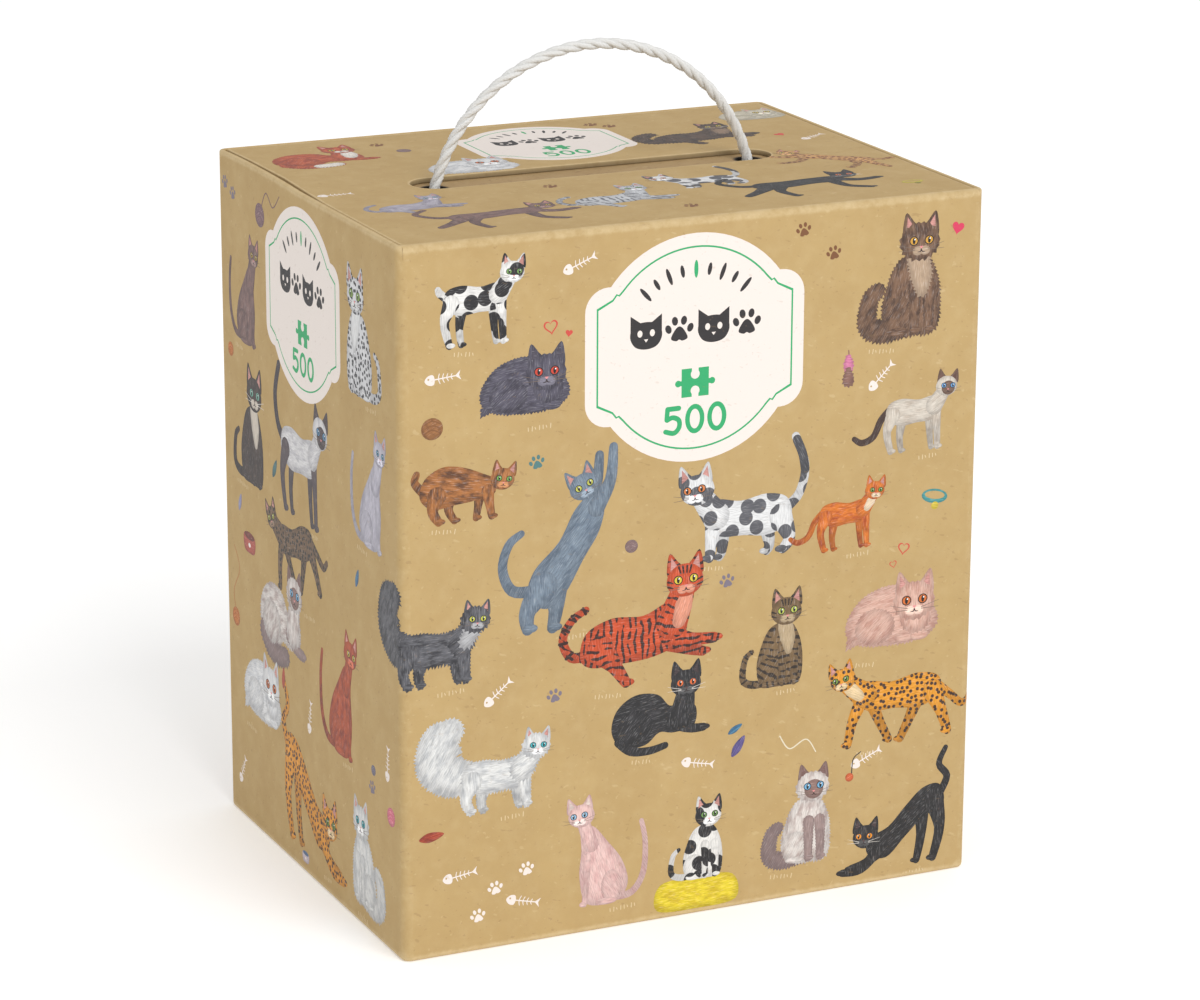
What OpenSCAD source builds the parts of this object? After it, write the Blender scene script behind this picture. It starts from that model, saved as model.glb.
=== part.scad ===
// Boxed jigsaw puzzle: a folding carton of kraft-faced board with a tuck lid,
// a rope carrying handle, and a bag of loose puzzle pieces with a picture guide inside.
// X runs along the front, Y goes from the front to the back, Z is up.
// The origin is the middle of the base, on the surface that the box stands on.

/* [Box] */
// Outside width of the box, left to right
box_w = 168; // [140:1:210]
// Outside depth of the box, front to back
box_d = 131; // [108:1:165]
// Outside height from the base to the top of the closed lid
box_h = 192; // [150:1:240]
// Thickness of the board
board = 1.5; // [1.2:0.1:1.8]
// Outside radius of the four upright creases
corner_r = 2.5; // [2.2:0.1:4]

/* [Lid] */
// Gap between the lid and each side wall
lid_gap = 0.5; // [0.3:0.1:1]
// Gap between the lid and the back wall
lid_back_gap = 0.5; // [0.4:0.1:1]
// Gap left beside each crease that folds
crease_gap = 0.3; // [0.2:0.05:0.4]
// Length of the handle slot in the lid
slot_l = 106; // [100:1:120]
// Width of the handle slot in the lid
slot_w = 14; // [12:0.5:18]
// Length of the tuck flap below its crease
tuck_l = 14; // [10:0.5:15]
// Lean of the tuck flap towards the inside, in degrees
tuck_lean = 6; // [5:0.5:8]
// Distance of each end of the tuck flap from the end of the lid
tuck_inset = 4; // [2:0.5:10]
// Width of each dust flap, from its side wall inwards
dust_w = 21; // [15:0.5:22]
// Distance of the dust flaps from the lid's crease
dust_front = 7; // [6:0.5:15]
// Length of the slanted front edge of a dust flap, along Y
dust_taper = 14; // [12:0.5:20]
// Distance of the dust flaps from the back wall
dust_back = 6.5; // [6:0.5:12]
// Length of the straight part of a dust flap's front edge, beside its crease
dust_root = 2; // [1:0.5:4]
// Size of the clip at the back corner of a dust flap
dust_clip = 6; // [3:0.5:10]
// How far each side of the tuck flap narrows towards its clipped corner
tuck_narrow = 3; // [1:0.5:5]
// Width of each clipped corner of the tuck flap
tuck_clip_w = 7; // [4:0.5:12]
// Height of each clipped corner of the tuck flap
tuck_clip_h = 5; // [3:0.5:7]

/* [Handle] */
// Diameter of the twisted rope
rope_d = 3.2; // [2.6:0.1:3.4]
// Distance between the two rope holes
hole_spacing = 93; // [86:1:96]
// Diameter of each rope hole
hole_d = 6.7; // [6.2:0.1:7.5]
// Height of the middle of the rope above the handle board at its top
handle_rise = 35.5; // [28:0.5:44]
// Diameter of the stopper knots
knot_d = 8; // [7.6:0.1:9]
// Distance from the middle of the handle board down to the middle of a knot
knot_drop = 7.1; // [6.9:0.1:7.6]
// Width of the handle board glued under the lid
handle_board_w = 116; // [112:1:118]
// Depth of the handle board, front to back
handle_board_d = 92; // [60:1:98]
// Radius of the corners of the handle board
handle_board_r = 6; // [2:0.5:12]

/* [Base] */
// Length of the two side flaps of the base
base_side_l = 62; // [40:1:66]
// How far the side flaps of the base narrow at each side
base_side_taper = 14; // [4:1:24]
// How far from the wall the side flaps of the base start to narrow
base_side_root = 6; // [3:1:12]
// How far the locking flap narrows at each side
base_lock_taper = 8; // [2:1:16]
// Length of the locking flap of the base
base_lock_l = 48; // [30:1:70]
// Width of the tongue on the locking flap
tongue_w = 70; // [50:1:90]
// Length of the tongue
tongue_l = 14; // [8:1:20]
// How far the tongue narrows at each side
tongue_taper = 6; // [2:1:12]
// Gap beside each base flap
base_gap = 0.5; // [0.3:0.1:1]
// Width of the glue flap inside the back left corner
glue_w = 16; // [10:1:24]
// Distance of the glue flap from the top of the box and from the base
glue_inset = 22; // [12:1:40]

/* [Puzzle] */
// Number of puzzle pieces
pieces = 500; // [500]
// Side of a piece without its knobs
piece_w = 17; // [14:0.5:18]
// Thickness of a piece
piece_t = 2.2; // [1.5:0.1:2.4]
// Radius of a knob
knob_r = 2.6; // [2:0.1:3]
// Distance from a piece's edge to the middle of a knob
knob_out = 1.4; // [1.2:0.1:1.6]
// Free height between one layer of pieces and the next
layer_gap = 0.2; // [0.1:0.1:0.5]
// Least free space between neighbouring pieces
piece_gap = 0.2; // [0.1:0.1:0.5]
// Share of the sides that are straight, as on the border of the picture
straight_share = 0.04; // [0:0.01:0.2]

/* [Bag and picture guide] */
// Thickness of the clear film of the bag
film = 0.4; // [0.3:0.1:0.8]
// Gap between the bag and the walls of the box
bag_gap = 4; // [3:0.5:8]
// Outside radius of the bag's upright corners
bag_r = 9; // [6:0.5:14]
// Gap between the pieces and the film
film_gap = 0.5; // [0.3:0.1:1]
// Width of the heat-sealed seam that lies on top of the bag
seam_w = 10; // [6:1:14]
// Thickness of the seam
seam_t = 0.8; // [0.6:0.1:1.2]
// Diameter of the vent holes in the top of the bag
vent_d = 5; // [4:0.5:8]
// Distance from the middle of the bag to each vent hole
vent_at = 52; // [40:1:60]
// Width of the folded picture guide
guide_w = 145; // [110:1:150]
// Depth of the folded picture guide
guide_d = 104; // [80:1:112]
// Thickness of one leaf of the picture guide
leaf = 0.5; // [0.3:0.1:0.8]
// Gap between two leaves of the folded picture guide
leaf_gap = 0.3; // [0.2:0.1:0.6]
// Free height under the bag and under the picture guide
rest_gap = 0.2; // [0.1:0.1:0.5]

/* [Hidden] */
$fn = 64;
over = 1; // how far a cutting shape reaches past what it cuts
PIECE_NODES = 20;

kraft = "#CBAE78";
board_core = "#B99C6B";
cream = "#F3F0E8";
clear_film = "#DCE8EE";

// Walls
in_w = box_w - 2 * board;
in_d = box_d - 2 * board;
in_r = corner_r - board;
crease_r = board / 2;
side = min(box_w, box_d) / 3;

// Lid: its crease, its handle board and the crease of the tuck flap
lid_w = in_w - 2 * lid_gap;
lid_under = box_h - board;
crease_y = -box_d / 2 + crease_r;
crease_z = box_h - crease_r;
tuck_y = box_d / 2 - board - lid_back_gap - crease_r;
tuck_start = crease_r + crease_gap;
tuck_w = lid_w - 2 * tuck_inset;

// Dust flaps
dust_x = in_w / 2 - crease_gap - crease_r;
dust_z = lid_under - crease_gap - crease_r;
dust_y0 = crease_y + dust_front;
dust_y1 = box_d / 2 - board - dust_back;

// Rope: an arc that stands on the two holes, and its swing axis in the handle board
swing_z = lid_under - crease_r;
arc_r = (pow(hole_spacing / 2, 2) + pow(handle_rise, 2)) / (2 * handle_rise);
arc_z = lid_under + handle_rise - arc_r;
knot_z = swing_z - knot_drop;
arc_end = asin((knot_z - arc_z) / arc_r);
knot_x = arc_r * cos(arc_end);
hole_x = arc_r * cos(asin((swing_z - arc_z) / arc_r));

// Bag, its pieces and the picture guide on top
base_top = 3 * board;
bag_w = in_w - 2 * bag_gap;
bag_d = in_d - 2 * bag_gap;
fill_w = bag_w - 2 * (film + film_gap);
fill_d = bag_d - 2 * (film + film_gap);
piece_reach = max(piece_w / sqrt(2), piece_w / 2 + knob_out + knob_r);
cell = 2 * piece_reach + piece_gap;
columns = floor(fill_w / cell);
rows = floor(fill_d / cell);
layers = ceil(pieces / (columns * rows));
fill_h = layers * (piece_t + layer_gap);
bag_z = base_top + rest_gap;
bag_h = fill_h + 2 * (film + film_gap);
guide_z = bag_z + bag_h + seam_t + rest_gap;
guide_t = 2 * leaf + leaf_gap;
per_node = pieces / PIECE_NODES;
slack_x = fill_w / columns / 2 - piece_reach - piece_gap / 2;
slack_y = fill_d / rows / 2 - piece_reach - piece_gap / 2;
piece_turn = rands(0, 360, pieces, 11);
piece_x = rands(-1, 1, pieces, 23);
piece_y = rands(-1, 1, pieces, 37);
piece_cut = rands(0, 1, 4 * pieces, 41);
knob_share = (1 + straight_share) / 2;
TINTS = ["#7FA58A", "#D9A25B", "#C9BFA8", "#8B6B4E", "#5E6E7E", "#E2C9A0", "#B5533C"];

// ---- Shapes that repeat ----

// A rectangle about the middle with round corners
module round_rect(w, d, r) {
    square([w - 2 * r, d], center = true);
    square([w, d - 2 * r], center = true);
    for (x = [-1, 1], y = [-1, 1])
        translate([x * (w / 2 - r), y * (d / 2 - r)]) circle(r = r);
}

// The outline of all four walls
module wall_ring() {
    difference() {
        round_rect(box_w, box_d, corner_r);
        round_rect(in_w, in_d, in_r);
    }
}

// The part of the plan that belongs to the front or back wall, cut at 45 degrees
module long_sector() {
    polygon([[-box_w / 2 - over, -box_d / 2 - over], [box_w / 2 + over, -box_d / 2 - over],
             [box_w / 2 - side, -box_d / 2 + side], [-box_w / 2 + side, -box_d / 2 + side]]);
}

// The part of the plan that belongs to the right wall
module short_sector() {
    polygon([[box_w / 2 + over, -box_d / 2 - over], [box_w / 2 + over, box_d / 2 + over],
             [box_w / 2 - side, box_d / 2 - side], [box_w / 2 - side, -box_d / 2 + side]]);
}

module back_wall() {
    linear_extrude(box_h) intersection() {
        wall_ring();
        mirror([0, 1]) long_sector();
    }
}

module side_wall() {
    linear_extrude(box_h) intersection() {
        wall_ring();
        short_sector();
    }
}

// The round edge of a folding board, from x0 to x1 along X
module crease_along_x(x0, x1) {
    translate([x0, 0, 0]) rotate([0, 90, 0]) cylinder(r = crease_r, h = x1 - x0);
}

// The right dust flap lies at rest just under the lid
module dust_flap() {
    tip_x = dust_x - dust_w;
    difference() {
        union() {
            translate([tip_x, dust_y0, dust_z - crease_r]) cube([dust_w, dust_y1 - dust_y0, board]);
            translate([dust_x, dust_y1, dust_z]) rotate([90, 0, 0])
                cylinder(r = crease_r, h = dust_y1 - dust_y0);
        }
        // The slanted front and the clipped back corner
        translate([0, 0, dust_z - board]) linear_extrude(2 * board) {
            polygon([[dust_x - dust_root, dust_y0 - over], [dust_x - dust_root, dust_y0],
                     [tip_x - over, dust_y0 + dust_taper], [tip_x - over, dust_y0 - over]]);
            polygon([[tip_x - over, dust_y1 - dust_clip], [tip_x + dust_clip - over, dust_y1 + over],
                     [tip_x - over, dust_y1 + over]]);
        }
    }
}

// A base flap that comes in from the right wall
module base_side_flap() {
    x1 = in_w / 2 - base_gap;
    y1 = in_d / 2 - base_gap;
    y2 = y1 - base_side_taper;
    translate([0, 0, board]) linear_extrude(board)
        polygon([[x1, -y1 + in_r], [x1, y1 - in_r], [x1 - base_side_root, y1],
                 [x1 - base_side_l, y2], [x1 - base_side_l, -y2], [x1 - base_side_root, -y1]]);
}

module knot() {
    sphere(d = knot_d);
}

// One puzzle piece. Each of its four sides is 1 for a knob, -1 for a socket or 0 for straight
module puzzle_piece(sides) {
    linear_extrude(piece_t) difference() {
        union() {
            square(piece_w, center = true);
            for (i = [0:3])
                if (sides[i] == 1)
                    rotate(90 * i) translate([piece_w / 2 + knob_out, 0]) circle(r = knob_r);
        }
        for (i = [0:3])
            if (sides[i] == -1)
                rotate(90 * i) translate([piece_w / 2 - knob_out, 0]) circle(r = knob_r);
    }
}

function side_kind(r) = r < straight_share ? 0 : r < knob_share ? 1 : -1;

// Piece number i in its own cell of its own layer, turned at random
module piece_in_place(i) {
    layer = floor(i / (columns * rows));
    place = i % (columns * rows);
    column = place % columns;
    row = floor(place / columns);
    color(TINTS[i % len(TINTS)])
        translate([(column + 0.5) * fill_w / columns - fill_w / 2 + slack_x * piece_x[i],
                   (row + 0.5) * fill_d / rows - fill_d / 2 + slack_y * piece_y[i],
                   bag_z + film + film_gap + layer * (piece_t + layer_gap)])
            rotate(piece_turn[i])
                puzzle_piece([for (k = [0:3]) side_kind(piece_cut[4 * i + k])]);
}

// ---- Walls ----

// The front wall stops under the lid's crease, and its two ears go on up beside it
module front_panel() {
    color(kraft) difference() {
        linear_extrude(box_h) intersection() {
            wall_ring();
            long_sector();
        }
        translate([-in_w / 2, -box_d / 2 - over, lid_under - crease_gap])
            cube([in_w, corner_r + 2 * over, board + over]);
    }
}

module back_panel() {
    color(kraft) back_wall();
}

module right_panel() {
    color(kraft) side_wall();
}

module left_panel() {
    color(kraft) mirror([1, 0, 0]) side_wall();
}

// The strip that joins the back wall to the inside of the left wall
module glue_flap() {
    color(board_core)
        translate([-in_w / 2, in_d / 2 - in_r - glue_w, glue_inset])
            cube([board, glue_w, box_h - 2 * glue_inset]);
}

// ---- Base ----

module base_panel() {
    color(kraft) linear_extrude(board)
        round_rect(in_w - 2 * base_gap, in_d - 2 * base_gap, in_r + base_gap);
}

module base_flap_right() {
    color(board_core) base_side_flap();
}

module base_flap_left() {
    color(board_core) mirror([1, 0, 0]) base_side_flap();
}

module base_lock_flap() {
    x1 = in_w / 2 - base_gap - in_r;
    x2 = x1 - base_lock_taper;
    x3 = tongue_w / 2;
    x4 = x3 - tongue_taper;
    y0 = -in_d / 2 + base_gap;
    y1 = y0 + base_lock_l;
    y2 = y1 + tongue_l;
    color(board_core) translate([0, 0, 2 * board]) linear_extrude(board)
        polygon([[-x1, y0], [x1, y0], [x2, y1], [x3, y1], [x4, y2],
                 [-x4, y2], [-x3, y1], [-x2, y1]]);
}

// ---- Lid ----

// The lid turns about the middle of its round front edge, where it is creased to the front wall
module lid_panel() {
    color(kraft) difference() {
        union() {
            translate([-lid_w / 2, crease_y, lid_under]) cube([lid_w, tuck_y - crease_y, board]);
            translate([0, crease_y, crease_z]) crease_along_x(-lid_w / 2, lid_w / 2);
            translate([0, tuck_y, crease_z]) crease_along_x(-lid_w / 2, lid_w / 2);
        }
        translate([0, 0, lid_under - over]) linear_extrude(board + 2 * over) {
            square([slot_l - slot_w, slot_w], center = true);
            for (x = [-1, 1]) translate([x * (slot_l - slot_w) / 2, 0]) circle(d = slot_w);
        }
    }
}

// The board glued under the lid holds the rope in two round holes
module handle_board() {
    color(kraft) translate([0, 0, lid_under - board]) difference() {
        linear_extrude(board) round_rect(handle_board_w, handle_board_d, handle_board_r);
        for (x = [-hole_x, hole_x])
            translate([x, 0, -over]) cylinder(d = hole_d, h = board + 2 * over);
    }
}

// The tuck flap hangs behind the contents, just inside the back wall
module tuck_flap() {
    x1 = tuck_w / 2;
    x2 = x1 - tuck_narrow;
    x3 = x2 - tuck_clip_w;
    y2 = tuck_l - tuck_clip_h;
    color(kraft) translate([0, tuck_y, crease_z]) rotate([-90 - tuck_lean, 0, 0])
        translate([0, 0, -crease_r]) linear_extrude(board)
            polygon([[-x1, tuck_start], [x1, tuck_start], [x2, y2], [x3, tuck_l],
                     [-x3, tuck_l], [-x2, y2]]);
}

module dust_flap_right() {
    color(board_core) dust_flap();
}

module dust_flap_left() {
    color(board_core) mirror([1, 0, 0]) dust_flap();
}

// ---- Rope handle ----

module handle_rope() {
    color(cream) translate([0, 0, arc_z]) rotate([90, 0, 0])
        rotate([0, 0, arc_end]) rotate_extrude(angle = 180 - 2 * arc_end)
            translate([arc_r, 0]) circle(d = rope_d);
}

module rope_knot_left() {
    color(cream) translate([-knot_x, 0, knot_z]) knot();
}

module rope_knot_right() {
    color(cream) translate([knot_x, 0, knot_z]) knot();
}

// ---- Contents ----

// A clear pouch with two vent holes and a heat-sealed seam folded flat on its top
module piece_bag() {
    color(clear_film, 0.4) translate([0, 0, bag_z]) {
        difference() {
            linear_extrude(bag_h) round_rect(bag_w, bag_d, bag_r);
            translate([0, 0, film]) linear_extrude(bag_h - 2 * film)
                round_rect(bag_w - 2 * film, bag_d - 2 * film, bag_r - film);
            for (x = [-1, 1])
                translate([x * vent_at, bag_d / 4, bag_h - 2 * film])
                    cylinder(d = vent_d, h = 3 * film);
        }
        translate([-bag_w / 2 + bag_r, -seam_w / 2, bag_h]) cube([bag_w - 2 * bag_r, seam_w, seam_t]);
    }
}

// A sheet folded once, with its fold towards the front
module picture_guide() {
    fold_r = guide_t / 2;
    color(cream) translate([-guide_w / 2, 0, guide_z]) rotate([90, 0, 90]) linear_extrude(guide_w) {
        for (z = [0, leaf + leaf_gap])
            translate([-guide_d / 2 + fold_r, z]) square([guide_d - fold_r, leaf]);
        translate([-guide_d / 2 + fold_r, fold_r]) difference() {
            circle(r = fold_r);
            circle(r = leaf_gap / 2);
            translate([0, -guide_t]) square([guide_t, 2 * guide_t]);
        }
    }
}

// Group k of the loose pieces
module puzzle_pieces(k) {
    for (i = [(k - 1) * per_node : k * per_node - 1]) piece_in_place(i);
}

front_panel();
back_panel();
left_panel();
right_panel();
glue_flap();
base_panel();
base_flap_left();
base_flap_right();
base_lock_flap();
lid_panel();
handle_board();
tuck_flap();
dust_flap_left();
dust_flap_right();
handle_rope();
rope_knot_left();
rope_knot_right();
piece_bag();
picture_guide();
for (k = [1:PIECE_NODES])
    puzzle_pieces(k);
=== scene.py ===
"""A boxed jigsaw puzzle: a kraft carton with a tuck lid, a rope handle, and a bag of pieces inside.

Sizes in this script are in millimetres until a mesh is made, and places come from the frame.
"""
import math
import random

import bmesh
import bpy
import numpy as np
from mathutils import Matrix, Vector
from mathutils.geometry import delaunay_2d_cdt


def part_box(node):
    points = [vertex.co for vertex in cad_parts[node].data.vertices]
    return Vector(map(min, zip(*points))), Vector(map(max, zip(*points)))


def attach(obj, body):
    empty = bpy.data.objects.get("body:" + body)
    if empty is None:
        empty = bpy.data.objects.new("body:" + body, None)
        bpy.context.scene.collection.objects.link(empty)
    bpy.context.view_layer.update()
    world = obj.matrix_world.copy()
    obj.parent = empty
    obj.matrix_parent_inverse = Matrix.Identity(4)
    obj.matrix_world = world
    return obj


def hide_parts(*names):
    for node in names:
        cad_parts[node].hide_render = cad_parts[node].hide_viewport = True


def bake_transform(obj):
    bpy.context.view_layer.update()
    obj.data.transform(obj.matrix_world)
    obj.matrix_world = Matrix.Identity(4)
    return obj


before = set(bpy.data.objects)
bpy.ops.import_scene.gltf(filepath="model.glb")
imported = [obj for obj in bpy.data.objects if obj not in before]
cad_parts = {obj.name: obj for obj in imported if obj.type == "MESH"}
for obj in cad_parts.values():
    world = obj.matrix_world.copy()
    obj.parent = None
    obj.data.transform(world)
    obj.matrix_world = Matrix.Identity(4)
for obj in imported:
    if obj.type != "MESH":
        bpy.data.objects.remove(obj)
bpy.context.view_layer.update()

MM = 0.001


def cad_box(node):
    """Lowest and highest corner of a CAD node, in millimetres."""
    low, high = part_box(node)
    return low / MM, high / MM


# ---- sizes from the frame

left_low, left_high = cad_box("left_panel")
front_low, front_high = cad_box("front_panel")
base_low, base_high = cad_box("base_panel")
lid_low, lid_high = cad_box("lid_panel")
tray_low, tray_high = cad_box("handle_board")
rope_low, rope_high = cad_box("handle_rope")
knot_low, knot_high = cad_box("rope_knot_right")
tuck_low, tuck_high = cad_box("tuck_flap")

HALF_W = -left_low.x
HALF_D = -front_low.y
HEIGHT = left_high.z
BOARD = base_high.z
CORNER = 2.5
CREASE_GAP = 0.3
SLOT_LENGTH = 106.0
SLOT_WIDTH = 14.0
HOLE = 6.7
TUCK_LEAN = 6.0

FLAT_W = HALF_W - CORNER
FLAT_D = HALF_D - CORNER
QUARTER = math.pi / 2 * CORNER
AROUND = 4 * (FLAT_W + FLAT_D + QUARTER)
RIGHT_START = FLAT_W + QUARTER
BACK_START = RIGHT_START + 2 * FLAT_D + QUARTER
LEFT_START = -FLAT_W - QUARTER - 2 * FLAT_D

ROPE_D = rope_high.y - rope_low.y
KNOT_X = (knot_low.x + knot_high.x) / 2
KNOT_Z = (knot_low.z + knot_high.z) / 2
ROPE_TOP = rope_high.z - ROPE_D / 2
ROPE_MIDDLE = (ROPE_TOP ** 2 - KNOT_X ** 2 - KNOT_Z ** 2) / (2 * (ROPE_TOP - KNOT_Z))
ROPE_ARC = ROPE_TOP - ROPE_MIDDLE
HOLE_LEVEL = (tray_low.z + tray_high.z) / 2
HOLE_X = math.sqrt(ROPE_ARC ** 2 - (HOLE_LEVEL - ROPE_MIDDLE) ** 2)


WHITEST = 0.84


def rgb(code):
    """A paint as it looks in full light, in six hexadecimal digits. White returns the share WHITEST."""
    steps = [value / 255 for value in bytes.fromhex(code)]
    light = [v / 12.92 if v <= 0.04045 else ((v + 0.055) / 1.055) ** 2.4 for v in steps]
    return (*(WHITEST * v for v in light), 1.0)


# ---- node helpers

def put(tree, kind, values=None, **settings):
    """Adds a node. Each value is set on the input of that name, or linked where it is an output."""
    made = tree.nodes.new(kind)
    for name, setting in settings.items():
        setattr(made, name, setting)
    return feed(tree, made, values or {})


def feed(tree, made, values):
    """Sets or links inputs of a node."""
    for name, value in values.items():
        if isinstance(value, bpy.types.NodeSocket):
            tree.links.new(value, made.inputs[name])
        else:
            made.inputs[name].default_value = value
    return made


def vector(tree, operation, first, second):
    """The result of one Vector Math node. SCALE takes a number as its second value."""
    values = {0: first, 3 if operation == "SCALE" else 1: second}
    return put(tree, "ShaderNodeVectorMath", values, operation=operation).outputs[0]


def stored(tree, name, output="Fac"):
    """A value stored on the piece."""
    return put(tree, "ShaderNodeAttribute", attribute_name=name).outputs[output]


def calc(tree, operation, first, second=0.0, third=0.0, clamp=False):
    """The result of one Math node."""
    made = put(tree, "ShaderNodeMath", {0: first, 1: second, 2: third}, operation=operation, use_clamp=clamp)
    return made.outputs[0]


def mix_colour(tree, amount, first, second, way="MIX"):
    """The result of mixing two colours."""
    made = put(tree, "ShaderNodeMix", {0: amount, 6: first, 7: second}, data_type="RGBA", blend_type=way)
    return made.outputs[2]


def spread(tree, value, low, high, to_low=0.0, to_high=1.0):
    """Takes low to high onto to_low to to_high, smoothly and without going past them."""
    made = put(tree, "ShaderNodeMapRange", {0: value, 1: low, 2: high, 3: to_low, 4: to_high},
               interpolation_type="SMOOTHSTEP")
    return made.outputs[0]


def noise(tree, place, scale, detail=2.0, roughness=0.5, stretch=None):
    """A noise value from 0 to 1 on a place in millimetres, drawn out along an axis by stretch."""
    if stretch:
        values = {"Vector": place, "Scale": stretch[0], "Rotation": stretch[1]}
        place = put(tree, "ShaderNodeMapping", values, vector_type="TEXTURE").outputs[0]
    made = put(tree, "ShaderNodeTexNoise", {"Vector": place, "Scale": scale, "Detail": detail,
                                            "Roughness": roughness})
    return made.outputs[0]


def new_group(name, inputs, outputs):
    """A shader group that takes a Place and numbers, given as name: start value, and puts out numbers."""
    tree = bpy.data.node_groups.new(name, "ShaderNodeTree")
    tree.interface.new_socket("Place", in_out="INPUT", socket_type="NodeSocketVector")
    for label, start in inputs.items():
        tree.interface.new_socket(label, in_out="INPUT", socket_type="NodeSocketFloat").default_value = start
    for label in outputs:
        tree.interface.new_socket(label, in_out="OUTPUT", socket_type="NodeSocketFloat")
    return tree, tree.nodes.new("NodeGroupInput").outputs, tree.nodes.new("NodeGroupOutput").inputs


def use_group(tree, group, values):
    """Places a group in a material with its own values, and returns its outputs."""
    return put(tree, "ShaderNodeGroup", values, node_tree=group).outputs


def new_material(name):
    """A material with its tree, its Principled shader and Object coordinates in millimetres."""
    material = bpy.data.materials.new(name)
    material.use_nodes = True
    tree = material.node_tree
    place = tree.nodes.new("ShaderNodeTexCoord").outputs["Object"]
    return material, tree, tree.nodes["Principled BSDF"], vector(tree, "SCALE", place, 1 / MM)


def add_bump(tree, shader, height, depth_mm, strength=1.0):
    """Feeds a height, in shares of depth_mm, into the shader's normal."""
    made = put(tree, "ShaderNodeBump", {"Height": height, "Distance": depth_mm * MM, "Strength": strength})
    feed(tree, shader, {"Normal": made.outputs[0]})


# ---- shared surface effects

def make_paper_group():
    """Recycled paper: soft clouds, fine tooth, and short fibres that show as flecks."""
    tree, given, result = new_group(
        "recycled_paper", {"Cloud Size": 14.0, "Fibre Length": 2.4, "Fibre Share": 0.5},
        ("Clouds", "Flecks", "Tooth"))
    broad = vector(tree, "DIVIDE", given["Place"], given["Cloud Size"])
    tree.links.new(noise(tree, broad, 1.0, 4.0, 0.6), result["Clouds"])
    fine = vector(tree, "DIVIDE", given["Place"], given["Fibre Length"])
    one_way = noise(tree, fine, 1.9, 2.0, 0.5, ((4.2, 0.8, 1.0), (0.5, 0.35, 0.3)))
    other_way = noise(tree, fine, 2.3, 2.0, 0.5, ((0.8, 1.0, 3.6), (0.9, -0.6, 1.1)))
    limit = calc(tree, "MULTIPLY_ADD", given["Fibre Share"], -0.12, 0.74)
    far_limit = calc(tree, "ADD", limit, 0.05)
    strongest = calc(tree, "MAXIMUM", one_way, other_way)
    fleck = put(tree, "ShaderNodeMapRange", {0: strongest, 1: limit, 2: far_limit},
                interpolation_type="SMOOTHSTEP")
    tree.links.new(fleck.outputs[0], result["Flecks"])
    grit = noise(tree, given["Place"], 2.6, 3.0, 0.65)
    tree.links.new(calc(tree, "MULTIPLY_ADD", strongest, 0.4, grit), result["Tooth"])
    return tree


def make_wear_and_highlight_group():
    """Rubbed edges and a painted highlight on edges and creases: a mask that is strong where the piece's wear
    mark is high.
    """
    tree, given, result = new_group("rubbed_edge_and_highlight", {"Amount": 0.6, "Patch Size": 4.0}, ["Wear"])
    wear_and_highlight = stored(tree, "wear_and_highlight")
    scaled = vector(tree, "DIVIDE", given["Place"], given["Patch Size"])
    broken = noise(tree, scaled, 1.6, 4.0, 0.7)
    reached = calc(tree, "MULTIPLY", wear_and_highlight, calc(tree, "ADD", broken, 0.25))
    edge = spread(tree, reached, 0.32, 0.85)
    tree.links.new(calc(tree, "MULTIPLY", edge, given["Amount"], clamp=True), result["Wear"])
    return tree


paper_group = make_paper_group()
wear_and_highlight_group = make_wear_and_highlight_group()


# ---- materials

# Painted shade: the dark brown that board is darkened towards in the slot and the rope holes.
PAINTED_SHADE_BROWN = rgb("221911")


def make_board(name, base, dark, light, fibre_share, roughness, wear):
    """Uncoated board: base colour with clouds, dark and light fibres, rubbed edges lightened partly as a
    painted highlight, and painted shade where the shade attribute is high.
    """
    material, tree, shader, place = new_material(name)
    paper = use_group(tree, paper_group, {"Place": place, "Fibre Share": fibre_share})
    pale = use_group(tree, paper_group, {"Place": place, "Cloud Size": 5.0, "Fibre Length": 3.4,
                                         "Fibre Share": fibre_share * 0.8})
    rubbed_and_highlit = use_group(tree, wear_and_highlight_group, {"Place": place, "Amount": wear})
    colour = mix_colour(tree, spread(tree, paper["Clouds"], 0.25, 0.75, 0.0, 0.22), base, dark)
    colour = mix_colour(tree, spread(tree, pale["Clouds"], 0.4, 0.8, 0.0, 0.16), colour, light)
    colour = mix_colour(tree, calc(tree, "MULTIPLY", paper["Flecks"], 0.42), colour, dark)
    colour = mix_colour(tree, calc(tree, "MULTIPLY", pale["Flecks"], 0.3), colour, light)
    # Marked edges and creases go towards the light colour: partly rubbed wear, partly a painted highlight.
    colour = mix_colour(tree, rubbed_and_highlit["Wear"], colour, light)
    # Painted shade: the colour goes towards dark brown where the shade attribute is high.
    shade = stored(tree, "shade")
    colour = mix_colour(tree, shade, colour, PAINTED_SHADE_BROWN)
    feed(tree, shader, {"Base Color": colour,
                        "Roughness": spread(tree, paper["Clouds"], 0.2, 0.8, roughness - 0.06,
                                            roughness + 0.06)})
    add_bump(tree, shader, paper["Tooth"], 0.035)
    return material


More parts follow.
